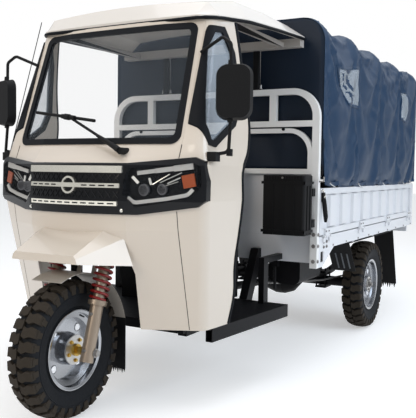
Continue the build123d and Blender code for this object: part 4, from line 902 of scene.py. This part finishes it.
def cushion(name, size, place_at, pull):
    """Stuffed pad of a size, swelled by a short cloth run, then put in place."""
    half = [s / 2 for s in size]
    radius = min(half) * 0.6
    bm = bmesh.new()
    bmesh.ops.create_cube(bm, size=1)
    bmesh.ops.subdivide_edges(bm, edges=bm.edges, cuts=15, use_grid_fill=True)
    for v in bm.verts:
        p = Vector([c * s for c, s in zip(v.co, size)])
        core = Vector([max(-(h - radius), min(h - radius, c)) for h, c in zip(half, p)])
        away = p - core
        v.co = core + away.normalized() * radius if away.length > 1e-6 else p
    mesh = bpy.data.meshes.new(name)
    bm.to_mesh(mesh)
    bm.free()
    obj = in_scene(name, mesh)
    cloth = add_cloth(obj, quality=4, use_pressure=True, uniform_pressure_force=4)
    cloth.settings.effector_weights.gravity = 0
    moved = run_cloth(obj, 15)
    obj.modifiers.remove(cloth)
    for v, swelled in zip(mesh.vertices, moved):
        step = swelled - v.co
        if step.length > SWELL_LIMIT:
            step *= SWELL_LIMIT / step.length
        if v.co.z < -half[2] * 0.7:
            step *= 0.15
        v.co += step
    for v in mesh.vertices:
        if v.co.z > 0:
            for seam in (-pull, pull):
                v.co.z -= SEAM_DEPTH * exp(-(((v.co.x - seam) / SEAM_HALF) ** 2))
    mesh.transform(place_at)
    mesh.materials.append(SEAT)
    smooth_all(mesh)
    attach(obj, "chassis")
    return obj


bottom = cushion("seat_cushion", (0.55, 0.37, 0.094), Matrix.Translation((0, aft(0.890), 0.712)), 0.11)
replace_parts(bottom, "seat")
lean = Vector((0, -1, 0.16)).normalized()
upward = lean.cross(Vector((1, 0, 0)))
turned = Matrix((Vector((1, 0, 0)), upward, lean)).transposed().to_4x4()
base = Vector((0, aft(1.084), 0.724)) + upward * 0.178 + lean * 0.036
cushion("seat_backrest", (0.51, 0.315, 0.066), Matrix.Translation(base) @ turned, 0.10)

# Dashboard: instrument pod with its glass, and switches
dash = Shape()
dash.tube([(0, aft(0.225), 1.106), (0, aft(0.228), 1.118)], [0.066, 0.062], 28)
dash.tube([(0, aft(0.228), 1.118), (0, aft(0.2285), 1.120)], 0.054, 28, 1)
for i in range(4):
    dash.disc((-0.0525 + i * 0.035, aft(0.289), 1.085), (0, 1, 0), 0.009, 0.006, 14, 1)
dash.piece("instrument_pod", [PLASTIC, GLOSS], "dark_plastic")

# Tarpaulin: one cover over the hoops, with a front and a rear curtain

HALF = 0.656
TOP = 1.826
LOW = 0.958
BEND = 0.130
TARP_FRONT = -0.331
TARP_REAR = 1.829
LENGTH = TARP_REAR - TARP_FRONT
HOOPS = [-0.296 + 0.5175 * i for i in range(5)]
SIDE = TOP - BEND - LOW
ARC = pi / 2 * BEND
GIRTH = 2 * (SIDE + ARC + HALF - BEND)
CLOTH = 0.0012
ROWS = 142
COLUMNS = 112
# The cloth may hang at most this far from its flat place
HANG_LIMIT = 0.034
SAG = 0.030
SIDE_PULL = 0.013


def section(u):
    """X and Z of the cover at a distance u up from the left hem and over to the right."""
    if u > GIRTH / 2:
        x, z = section(GIRTH - u)
        return -x, z
    if u < SIDE:
        return HALF, LOW + u
    if u < SIDE + ARC:
        t = (u - SIDE) / BEND
        return HALF - BEND + BEND * cos(t), TOP - BEND + BEND * sin(t)
    return HALF - BEND - (u - SIDE - ARC), TOP


def over_hem(row):
    """How far up from the nearer hem a row lies."""
    u = GIRTH * row / (ROWS - 1)
    return min(u, GIRTH - u)


def bend_share(over):
    """0 on the cover's side, 1 on its top, and a share in the bend."""
    return min(1.0, max(0.0, (over - SIDE) / ARC))


def near_hoop(y):
    """Distance to the nearest hoop."""
    return min(abs(y - h) for h in HOOPS)


def rumple(p, size):
    """Small soft folds, the same at every run."""
    a = noise.noise(Vector((p.x * 3.1, p.y * 5.0, p.z * 2.2)))
    b = noise.noise(Vector((p.x * 7.0 + 4, p.y * 11.0, p.z * 5.0)))
    return size * (a + 0.45 * b)


def folds(p):
    """Height of the sharp slanting folds and of the creases left from packing."""
    long_fold = noise.noise(Vector((p.x * 1.5 + 7, p.y * 3.6 + p.z * 2.2, p.z * 1.3)))
    short_fold = noise.noise(Vector((p.x * 2.5, p.y * 7.5 - p.z * 3.5, p.z * 2.6 + 9)))
    height = 0.017 * max(0.0, 1 - abs(long_fold) * 3.6) ** 2 + 0.008 * max(0.0, 1 - abs(short_fold) * 5) ** 2
    for z in (1.215, 1.405):
        height += 0.004 * exp(-(((p.z - z - 0.02 * (p.y - 0.7)) / 0.014) ** 2))
    for y in (0.28, 1.02):
        height += 0.003 * exp(-(((p.y - y) / 0.014) ** 2))
    return height


def corner_pull(y, z):
    """How far the ropes draw the cover's lower front corner back."""
    return 0.045 * max(0.0, 1 - (z - LOW) / 0.30) ** 1.3 * max(0.0, 1 - (y - TARP_FRONT) / 0.22)


def held_points():
    """Weights of the cover's points that hoops, end edges and lashings hold."""
    held = {}
    for r in range(ROWS):
        over = over_hem(r)
        for c in range(COLUMNS):
            y = TARP_FRONT + LENGTH * c / (COLUMNS - 1)
            if near_hoop(y) < 0.011 and over > 0.05:
                held[r * COLUMNS + c] = 1.0 if over > SIDE - 0.04 else 0.5
            if c in (0, COLUMNS - 1) or (r in (0, ROWS - 1) and c % 14 == 0):
                held[r * COLUMNS + c] = 1.0
    return held


def drape(points, held, grow, frames):
    """Hangs the cover as cloth, a little too large for its frame, and returns its points."""
    obj = in_scene("tarp_sim", from_data("tarp_sim", points, grid_faces(ROWS, COLUMNS)))
    group = obj.vertex_groups.new(name="held")
    for index, weight in held.items():
        group.add([index], weight, "REPLACE")
    add_cloth(obj, quality=6, mass=0.35, tension_stiffness=40, compression_stiffness=25, shear_stiffness=8,
              bending_stiffness=1.5, air_damping=3, shrink_min=-grow, vertex_group_mass="held")
    moved = run_cloth(obj, frames)
    bpy.data.objects.remove(obj)
    return moved


flat, start = [], []
held = held_points()
for r in range(ROWS):
    x, z = section(GIRTH * r / (ROWS - 1))
    high = bend_share(over_hem(r))
    for c in range(COLUMNS):
        p = Vector((x, TARP_FRONT + LENGTH * c / (COLUMNS - 1), z))
        flat.append(p.copy())
        if r * COLUMNS + c not in held:
            dip = 1 - exp(-((near_hoop(p.y) / 0.11) ** 2))
            p.z -= (SAG + abs(rumple(p, 0.006))) * dip * high
            p.x += (rumple(p, 0.010) - copysign(SIDE_PULL * dip, p.x)) * (1 - high)
        start.append(p)
hung = drape(start, held, 0.022, 26)
cover = []
for index, (p, q) in enumerate(zip(flat, hung)):
    r, c = divmod(index, COLUMNS)
    step = q - p
    if step.length > HANG_LIMIT:
        step *= HANG_LIMIT / step.length
    p = p + step
    edge = min(1.0, over_hem(r) / 0.06, c / 3, (COLUMNS - 1 - c) / 3)
    height = (folds(p) - 0.006) * edge
    tilt = pi / 2 * bend_share(over_hem(r))
    p.x += copysign(height * cos(tilt), p.x)
    p.z += height * 0.5 * sin(tilt)
    p.y += corner_pull(p.y, p.z)
    cover.append(p)


def cover_at(y, z, side):
    """Point on the hung cover's side and its outward normal, at a place given on the flat side."""
    v = (y - TARP_FRONT) / LENGTH * (COLUMNS - 1)
    u = (z - LOW) / GIRTH * (ROWS - 1)
    if side < 0:
        u = ROWS - 1 - u
    r, c = int(min(max(u, 0), ROWS - 2)), int(min(max(v, 0), COLUMNS - 2))
    first = r * COLUMNS + c
    a, b, d, e = (cover[i] for i in (first, first + COLUMNS, first + 1, first + COLUMNS + 1))
    n = (b - a).cross(d - a).normalized()
    return a.lerp(b, u - r).lerp(d.lerp(e, u - r), v - c), -n if n.x * side < 0 else n


# Window outlines behind the front axle: lower front, upper front, upper rear, lower rear
WINDOWS = (
    ((1.590, 1.417), (1.425, 1.597), (1.800, 1.632), (1.826, 1.418)),
    ((2.850, 1.420), (2.840, 1.612), (3.036, 1.620), (3.058, 1.422)),
)
# Cloth is cut away this far inside the outline, where the film's border is sewn on
CUT_MARGIN = 0.013


def window_corners(quad):
    """Corners of a window on the cover's flat side."""
    return [Vector((aft(y), z)) for y, z in quad]


def is_cut(face_index):
    """Whether a face of the cover lies in a window."""
    r, c = divmod(face_index, COLUMNS - 1)
    over = over_hem(r + 0.5)
    p = Vector((TARP_FRONT + LENGTH * (c + 0.5) / (COLUMNS - 1), LOW + over))
    for quad in WINDOWS:
        corners = window_corners(quad)
        edges = zip(corners, corners[1:] + corners[:1])
        inside = [(b - a).normalized().cross(p - a) <= -CUT_MARGIN for a, b in edges]
        if over < SIDE and all(inside):
            return True
    return False


def clean_cover(bm):
    """Deletes the points that no face uses and turns the faces outward."""
    bmesh.ops.delete(bm, geom=[v for v in bm.verts if not v.link_faces], context="VERTS")
    bmesh.ops.recalc_face_normals(bm, faces=bm.faces)


kept_faces = [face for i, face in enumerate(grid_faces(ROWS, COLUMNS)) if not is_cut(i)]
cover_mesh = from_data("tarp_cover", cover, kept_faces)
edit(cover_mesh, clean_cover)
tarp = place("tarp_cover", cover_mesh, TARP, "chassis")
smooth_all(cover_mesh)
thicken(tarp, CLOTH, -1)
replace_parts(tarp, "tarpaulin")

FILM_ROWS = 24
FILM_COLUMNS = 32
window_rims, window_films = Shape(), Shape()
for side in (1, -1):
    for quad in WINDOWS:
        low_a, high_a, high_b, low_b = window_corners(quad)

        def at(s, t, lift):
            """Point above the cover at shares along and up the window."""
            place_on_side = low_a.lerp(low_b, s).lerp(high_a.lerp(high_b, s), t)
            p, n = cover_at(place_on_side.x, place_on_side.y, side)
            return p + n * lift

        film = [
            at(s / FILM_COLUMNS, t / FILM_ROWS, CLOTH)
            for t in range(FILM_ROWS + 1)
            for s in range(FILM_COLUMNS + 1)
        ]
        # The front window's near end is bunched up, so cover cloth lies over part of its film
        for index, face in enumerate(grid_faces(FILM_ROWS + 1, FILM_COLUMNS + 1)):
            s, t = index % FILM_COLUMNS / FILM_COLUMNS, index // FILM_COLUMNS / FILM_ROWS
            bunched = noise.noise(Vector((s * 6 + side, t * 9, 3))) + 0.25 * sin(s * 26 + t * 7)
            shut = quad is WINDOWS[0] and 0.10 < s < 0.46 and bunched > -0.12 + abs(s - 0.30) * 1.6
            window_films.add([film[i] for i in face], [(0, 1, 2, 3)], int(shut))
        # Sewn border over the film's edge
        along = [s / FILM_COLUMNS for s in range(FILM_COLUMNS)]
        upward = [t / FILM_ROWS for t in range(FILM_ROWS)]
        outline = [(s, 0) for s in along] + [(1, t) for t in upward]
        outline += [(1 - s, 1) for s in along] + [(0, 1 - t) for t in upward]
        n = 2 * len(outline)
        verts = []
        for s, t in outline:
            verts.append(at(s + (s - 0.5) * 0.07, t + (t - 0.5) * 0.10, CLOTH))
            verts.append(at(0.5 + (s - 0.5) * 0.96, 0.5 + (t - 0.5) * 0.93, CLOTH + 0.001))
        window_rims.add(verts, [(i, i + 1, (i + 3) % n, (i + 2) % n) for i in range(0, n, 2)])


def thin(shape, name, mat, thickness):
    """Sheet piece with a real thickness."""
    mesh = shape.mesh(name, 0.00001)
    obj = place(name, mesh, mat, "chassis")
    smooth_all(mesh)
    thicken(obj, thickness)
    return obj


rims = thin(window_rims, "tarp_window_borders", TARP, CLOTH)
films = thin(window_films, "tarp_window_films", [FILM, TARP], CLOTH / 2)
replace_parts(films, "tarp_windows")


def curtain(name, y0, low, outward, cloth):
    """End curtain that follows the cover's edge, with soft folds."""
    across, up = 44, 40
    pts = []
    for j in range(up + 1):
        z = low + (TOP - low) * j / up
        over = z - (TOP - BEND)
        half = HALF if over <= 0 else HALF - BEND + sqrt(max(0.0, BEND**2 - over**2))
        for i in range(across + 1):
            s = i / across * 2 - 1
            p = Vector(((half - 0.002) * s, y0, z - 0.002 * (j == up)))
            fade = (1 - abs(s) ** 6) * (1 - (j / up) ** 8)
            fold = 0.006 * sin(p.x * 23 + 1.3 * sin(z * 5)) + rumple(p, 0.014)
            p.y -= outward * abs(fold) * fade
            if outward < 0:
                p.y += corner_pull(TARP_FRONT, z) * abs(s) ** 8
            pts.append(p)
    mesh = from_data(name, pts, grid_faces(up + 1, across + 1))
    obj = place(name, mesh, cloth, "chassis")
    smooth_all(mesh)
    thicken(obj, CLOTH)
    return obj


FRONT_CURTAIN_LOW = 1.036
# The front curtain is the tarp fabric with painted shade
front_curtain = curtain("tarp_front_curtain", TARP_FRONT + 0.002, FRONT_CURTAIN_LOW, -1, TARP_SHADED)
rear_curtain = curtain("tarp_rear_curtain", TARP_REAR - 0.002, LOW, 1, TARP)

# Hem along the sides with its eyelets and short lashings
LASHINGS = (-0.20, 0.33, 0.92, 1.46, 1.66)
# A lashing's way: off the cover along its normal, then aft and up
LASHING_WAY = ((0.003, 0, 0), (0.006, 0.012, -0.008), (0.007, 0.045, -0.016), (0.003, 0.090, -0.022))
# The hem's section: outward and up
HEM_SECTION = ((0.0016, 0.022), (0.0022, -0.001), (-0.0022, -0.001), (-0.0016, 0.022))

hem, ties = Shape(), Shape()
for side in (1, -1):
    edge = [cover_at(TARP_FRONT + LENGTH * k / 80, LOW, side)[0] for k in range(81)]
    hem.ring_solid([[p + Vector((side * a, 0, b)) for a, b in HEM_SECTION] for p in edge])
    for y in LASHINGS:
        p, n = cover_at(y, LOW + 0.016, side)
        ties.tube([p + n * off + Vector((0, back, rise)) for off, back, rise in LASHING_WAY], 0.0028, 8)
        eyelet = [p + n * 0.004 + Vector((0, 0.006 * cos(a), 0.006 * sin(a))) for a in ringed(12)]
        ties.tube(eyelet, 0.0016, 6, 1, closed=True)
hem.piece("tarp_hem", TARP, "tarp_fabric")
ties.piece("tarp_lashings", [CORD, STEEL], "steel")

# Twice the flat area of the tarp's windows
window_area = 0.0
for quad in WINDOWS:
    corners = window_corners(quad)
    window_area += abs(sum(a.cross(b) for a, b in zip(corners, corners[1:] + corners[:1])))

# Stage: floor, light and camera


def math_node(tree, operation, first, second):
    """Output of a sum node on one output and another output or a number."""
    node = tree.nodes.new("ShaderNodeMath")
    node.operation = operation
    tree.links.new(first, node.inputs[0])
    if isinstance(second, float):
        node.inputs[1].default_value = second
    else:
        tree.links.new(second, node.inputs[1])
    return node.outputs[0]


def mix_node(tree, factor, first, second):
    """Output of a shader that goes from the first to the second as the factor goes to 1."""
    node = tree.nodes.new("ShaderNodeMixShader")
    for socket, source in zip(node.inputs, (factor, first, second)):
        tree.links.new(source, socket)
    return node.outputs[0]


FLOOR_HALF = 30
floor_corners = [(-FLOOR_HALF, -FLOOR_HALF, 0), (FLOOR_HALF, -FLOOR_HALF, 0), (FLOOR_HALF, FLOOR_HALF, 0),
                 (-FLOOR_HALF, FLOOR_HALF, 0)]
floor = in_scene("floor", from_data("floor", floor_corners, [(0, 1, 2, 3)]))
pale = bpy.data.materials.new("pale_floor")
pale.use_nodes = True
tree = pale.node_tree
plain = principled(pale, {"Base Color": (0.80, 0.80, 0.80, 1), "Roughness": 0.9, "Specular IOR Level": 0.1})
glow = add_node(tree, "ShaderNodeEmission")
rays = add_node(tree, "ShaderNodeLightPath").outputs
seen_rays = math_node(tree, "MAXIMUM", rays["Is Camera Ray"], rays["Is Transmission Ray"])
seen_rays = math_node(tree, "MAXIMUM", seen_rays, rays["Is Glossy Ray"])
tree.links.new(math_node(tree, "MULTIPLY", seen_rays, 0.42), glow.inputs["Strength"])
both = add_node(tree, "ShaderNodeAddShader")
tree.links.new(plain.outputs[0], both.inputs[0])
tree.links.new(glow.outputs[0], both.inputs[1])
tree.links.new(both.outputs[0], tree.nodes["Material Output"].inputs["Surface"])
floor.data.materials.append(pale)

# World: white where it is seen, brighter upward where it is mirrored, and a plain level that lights the object
world = bpy.data.worlds.new("studio")
bpy.context.scene.world = world
world.use_nodes = True
tree = world.node_tree
tree.nodes.clear()
lit = add_node(tree, "ShaderNodeBackground", Color=(0.92, 0.96, 1.0, 1), Strength=0.52)
seen = add_node(tree, "ShaderNodeBackground", Color=(1, 1, 1, 1), Strength=1.0)
mirrored = add_node(tree, "ShaderNodeBackground", Color=(0.95, 0.97, 1.0, 1))
height_axis = add_node(tree, "ShaderNodeSeparateXYZ")
sky = add_node(tree, "ShaderNodeMapRange", From_Min=0.02, From_Max=0.55, To_Min=0.42, To_Max=1.0)
sky.interpolation_type = "SMOOTHSTEP"
tree.links.new(add_node(tree, "ShaderNodeTexCoord").outputs["Generated"], height_axis.inputs[0])
tree.links.new(height_axis.outputs["Z"], sky.inputs["Value"])
tree.links.new(sky.outputs["Result"], mirrored.inputs["Strength"])
rays = add_node(tree, "ShaderNodeLightPath").outputs
seen_rays = math_node(tree, "MAXIMUM", rays["Is Camera Ray"], rays["Is Transmission Ray"])
unseen = mix_node(tree, rays["Is Glossy Ray"], lit.outputs[0], mirrored.outputs[0])
shown = mix_node(tree, seen_rays, unseen, seen.outputs[0])
tree.links.new(shown, add_node(tree, "ShaderNodeOutputWorld").inputs["Surface"])


def area_light(name, location, target, size, watts, color):
    """Soft box that points at a target."""
    data = bpy.data.lights.new(name, "AREA")
    data.shape = "RECTANGLE"
    data.size, data.size_y = size
    data.energy = watts
    data.color = color
    obj = in_scene(name, data)
    obj.location = location
    obj.rotation_euler = (Vector(target) - Vector(location)).to_track_quat("-Z", "Y").to_euler()


area_light("side_soft_box", (6.5, -0.5, 3.6), (0, -0.2, 0.9), (5, 3), 225, (0.76, 0.87, 1.0))
area_light("front_soft_box", (-1.5, -7.5, 4.2), (0, -1.0, 0.8), (4, 2.5), 145, (1.0, 0.91, 0.80))
area_light("top_soft_box", (0.5, -0.5, 6.0), (0, 0, 0), (5, 5), 150, (0.93, 0.95, 1))

bpy.context.scene.view_settings.view_transform = "Standard"

# Camera at the photograph's view: yaw to the left, pitch down and a little roll
YAW, PITCH, ROLL = radians(29.138), radians(3.375), radians(0.742)
CAMERA_PLACE = (1.848, -3.705, 1.029)
# The photograph's width and height, the focal length and the view's centre, in pixels
PHOTO_WIDTH, PHOTO_HEIGHT = 416, 418
FOCAL = 679.72
CENTRE_X, CENTRE_Y = 205.691, 209.809
SENSOR = 36
forward = Vector((-sin(YAW) * cos(PITCH), cos(YAW) * cos(PITCH), -sin(PITCH)))
level = Vector((cos(YAW), sin(YAW), 0))
over_head = level.cross(forward)
right = level * cos(ROLL) + over_head * sin(ROLL)
above = over_head * cos(ROLL) - level * sin(ROLL)
camera_data = bpy.data.cameras.new("camera")
camera = in_scene("camera", camera_data)
facing = Matrix((right, above, -forward)).transposed().to_4x4()
camera.matrix_world = Matrix.Translation(CAMERA_PLACE) @ facing
camera_data.sensor_width = SENSOR
camera_data.lens = FOCAL / PHOTO_HEIGHT * SENSOR
camera_data.shift_x = (PHOTO_WIDTH / 2 - CENTRE_X) / PHOTO_HEIGHT
camera_data.shift_y = (CENTRE_Y - PHOTO_HEIGHT / 2) / PHOTO_HEIGHT
camera_data.clip_end = 100
bpy.context.scene.camera = camera
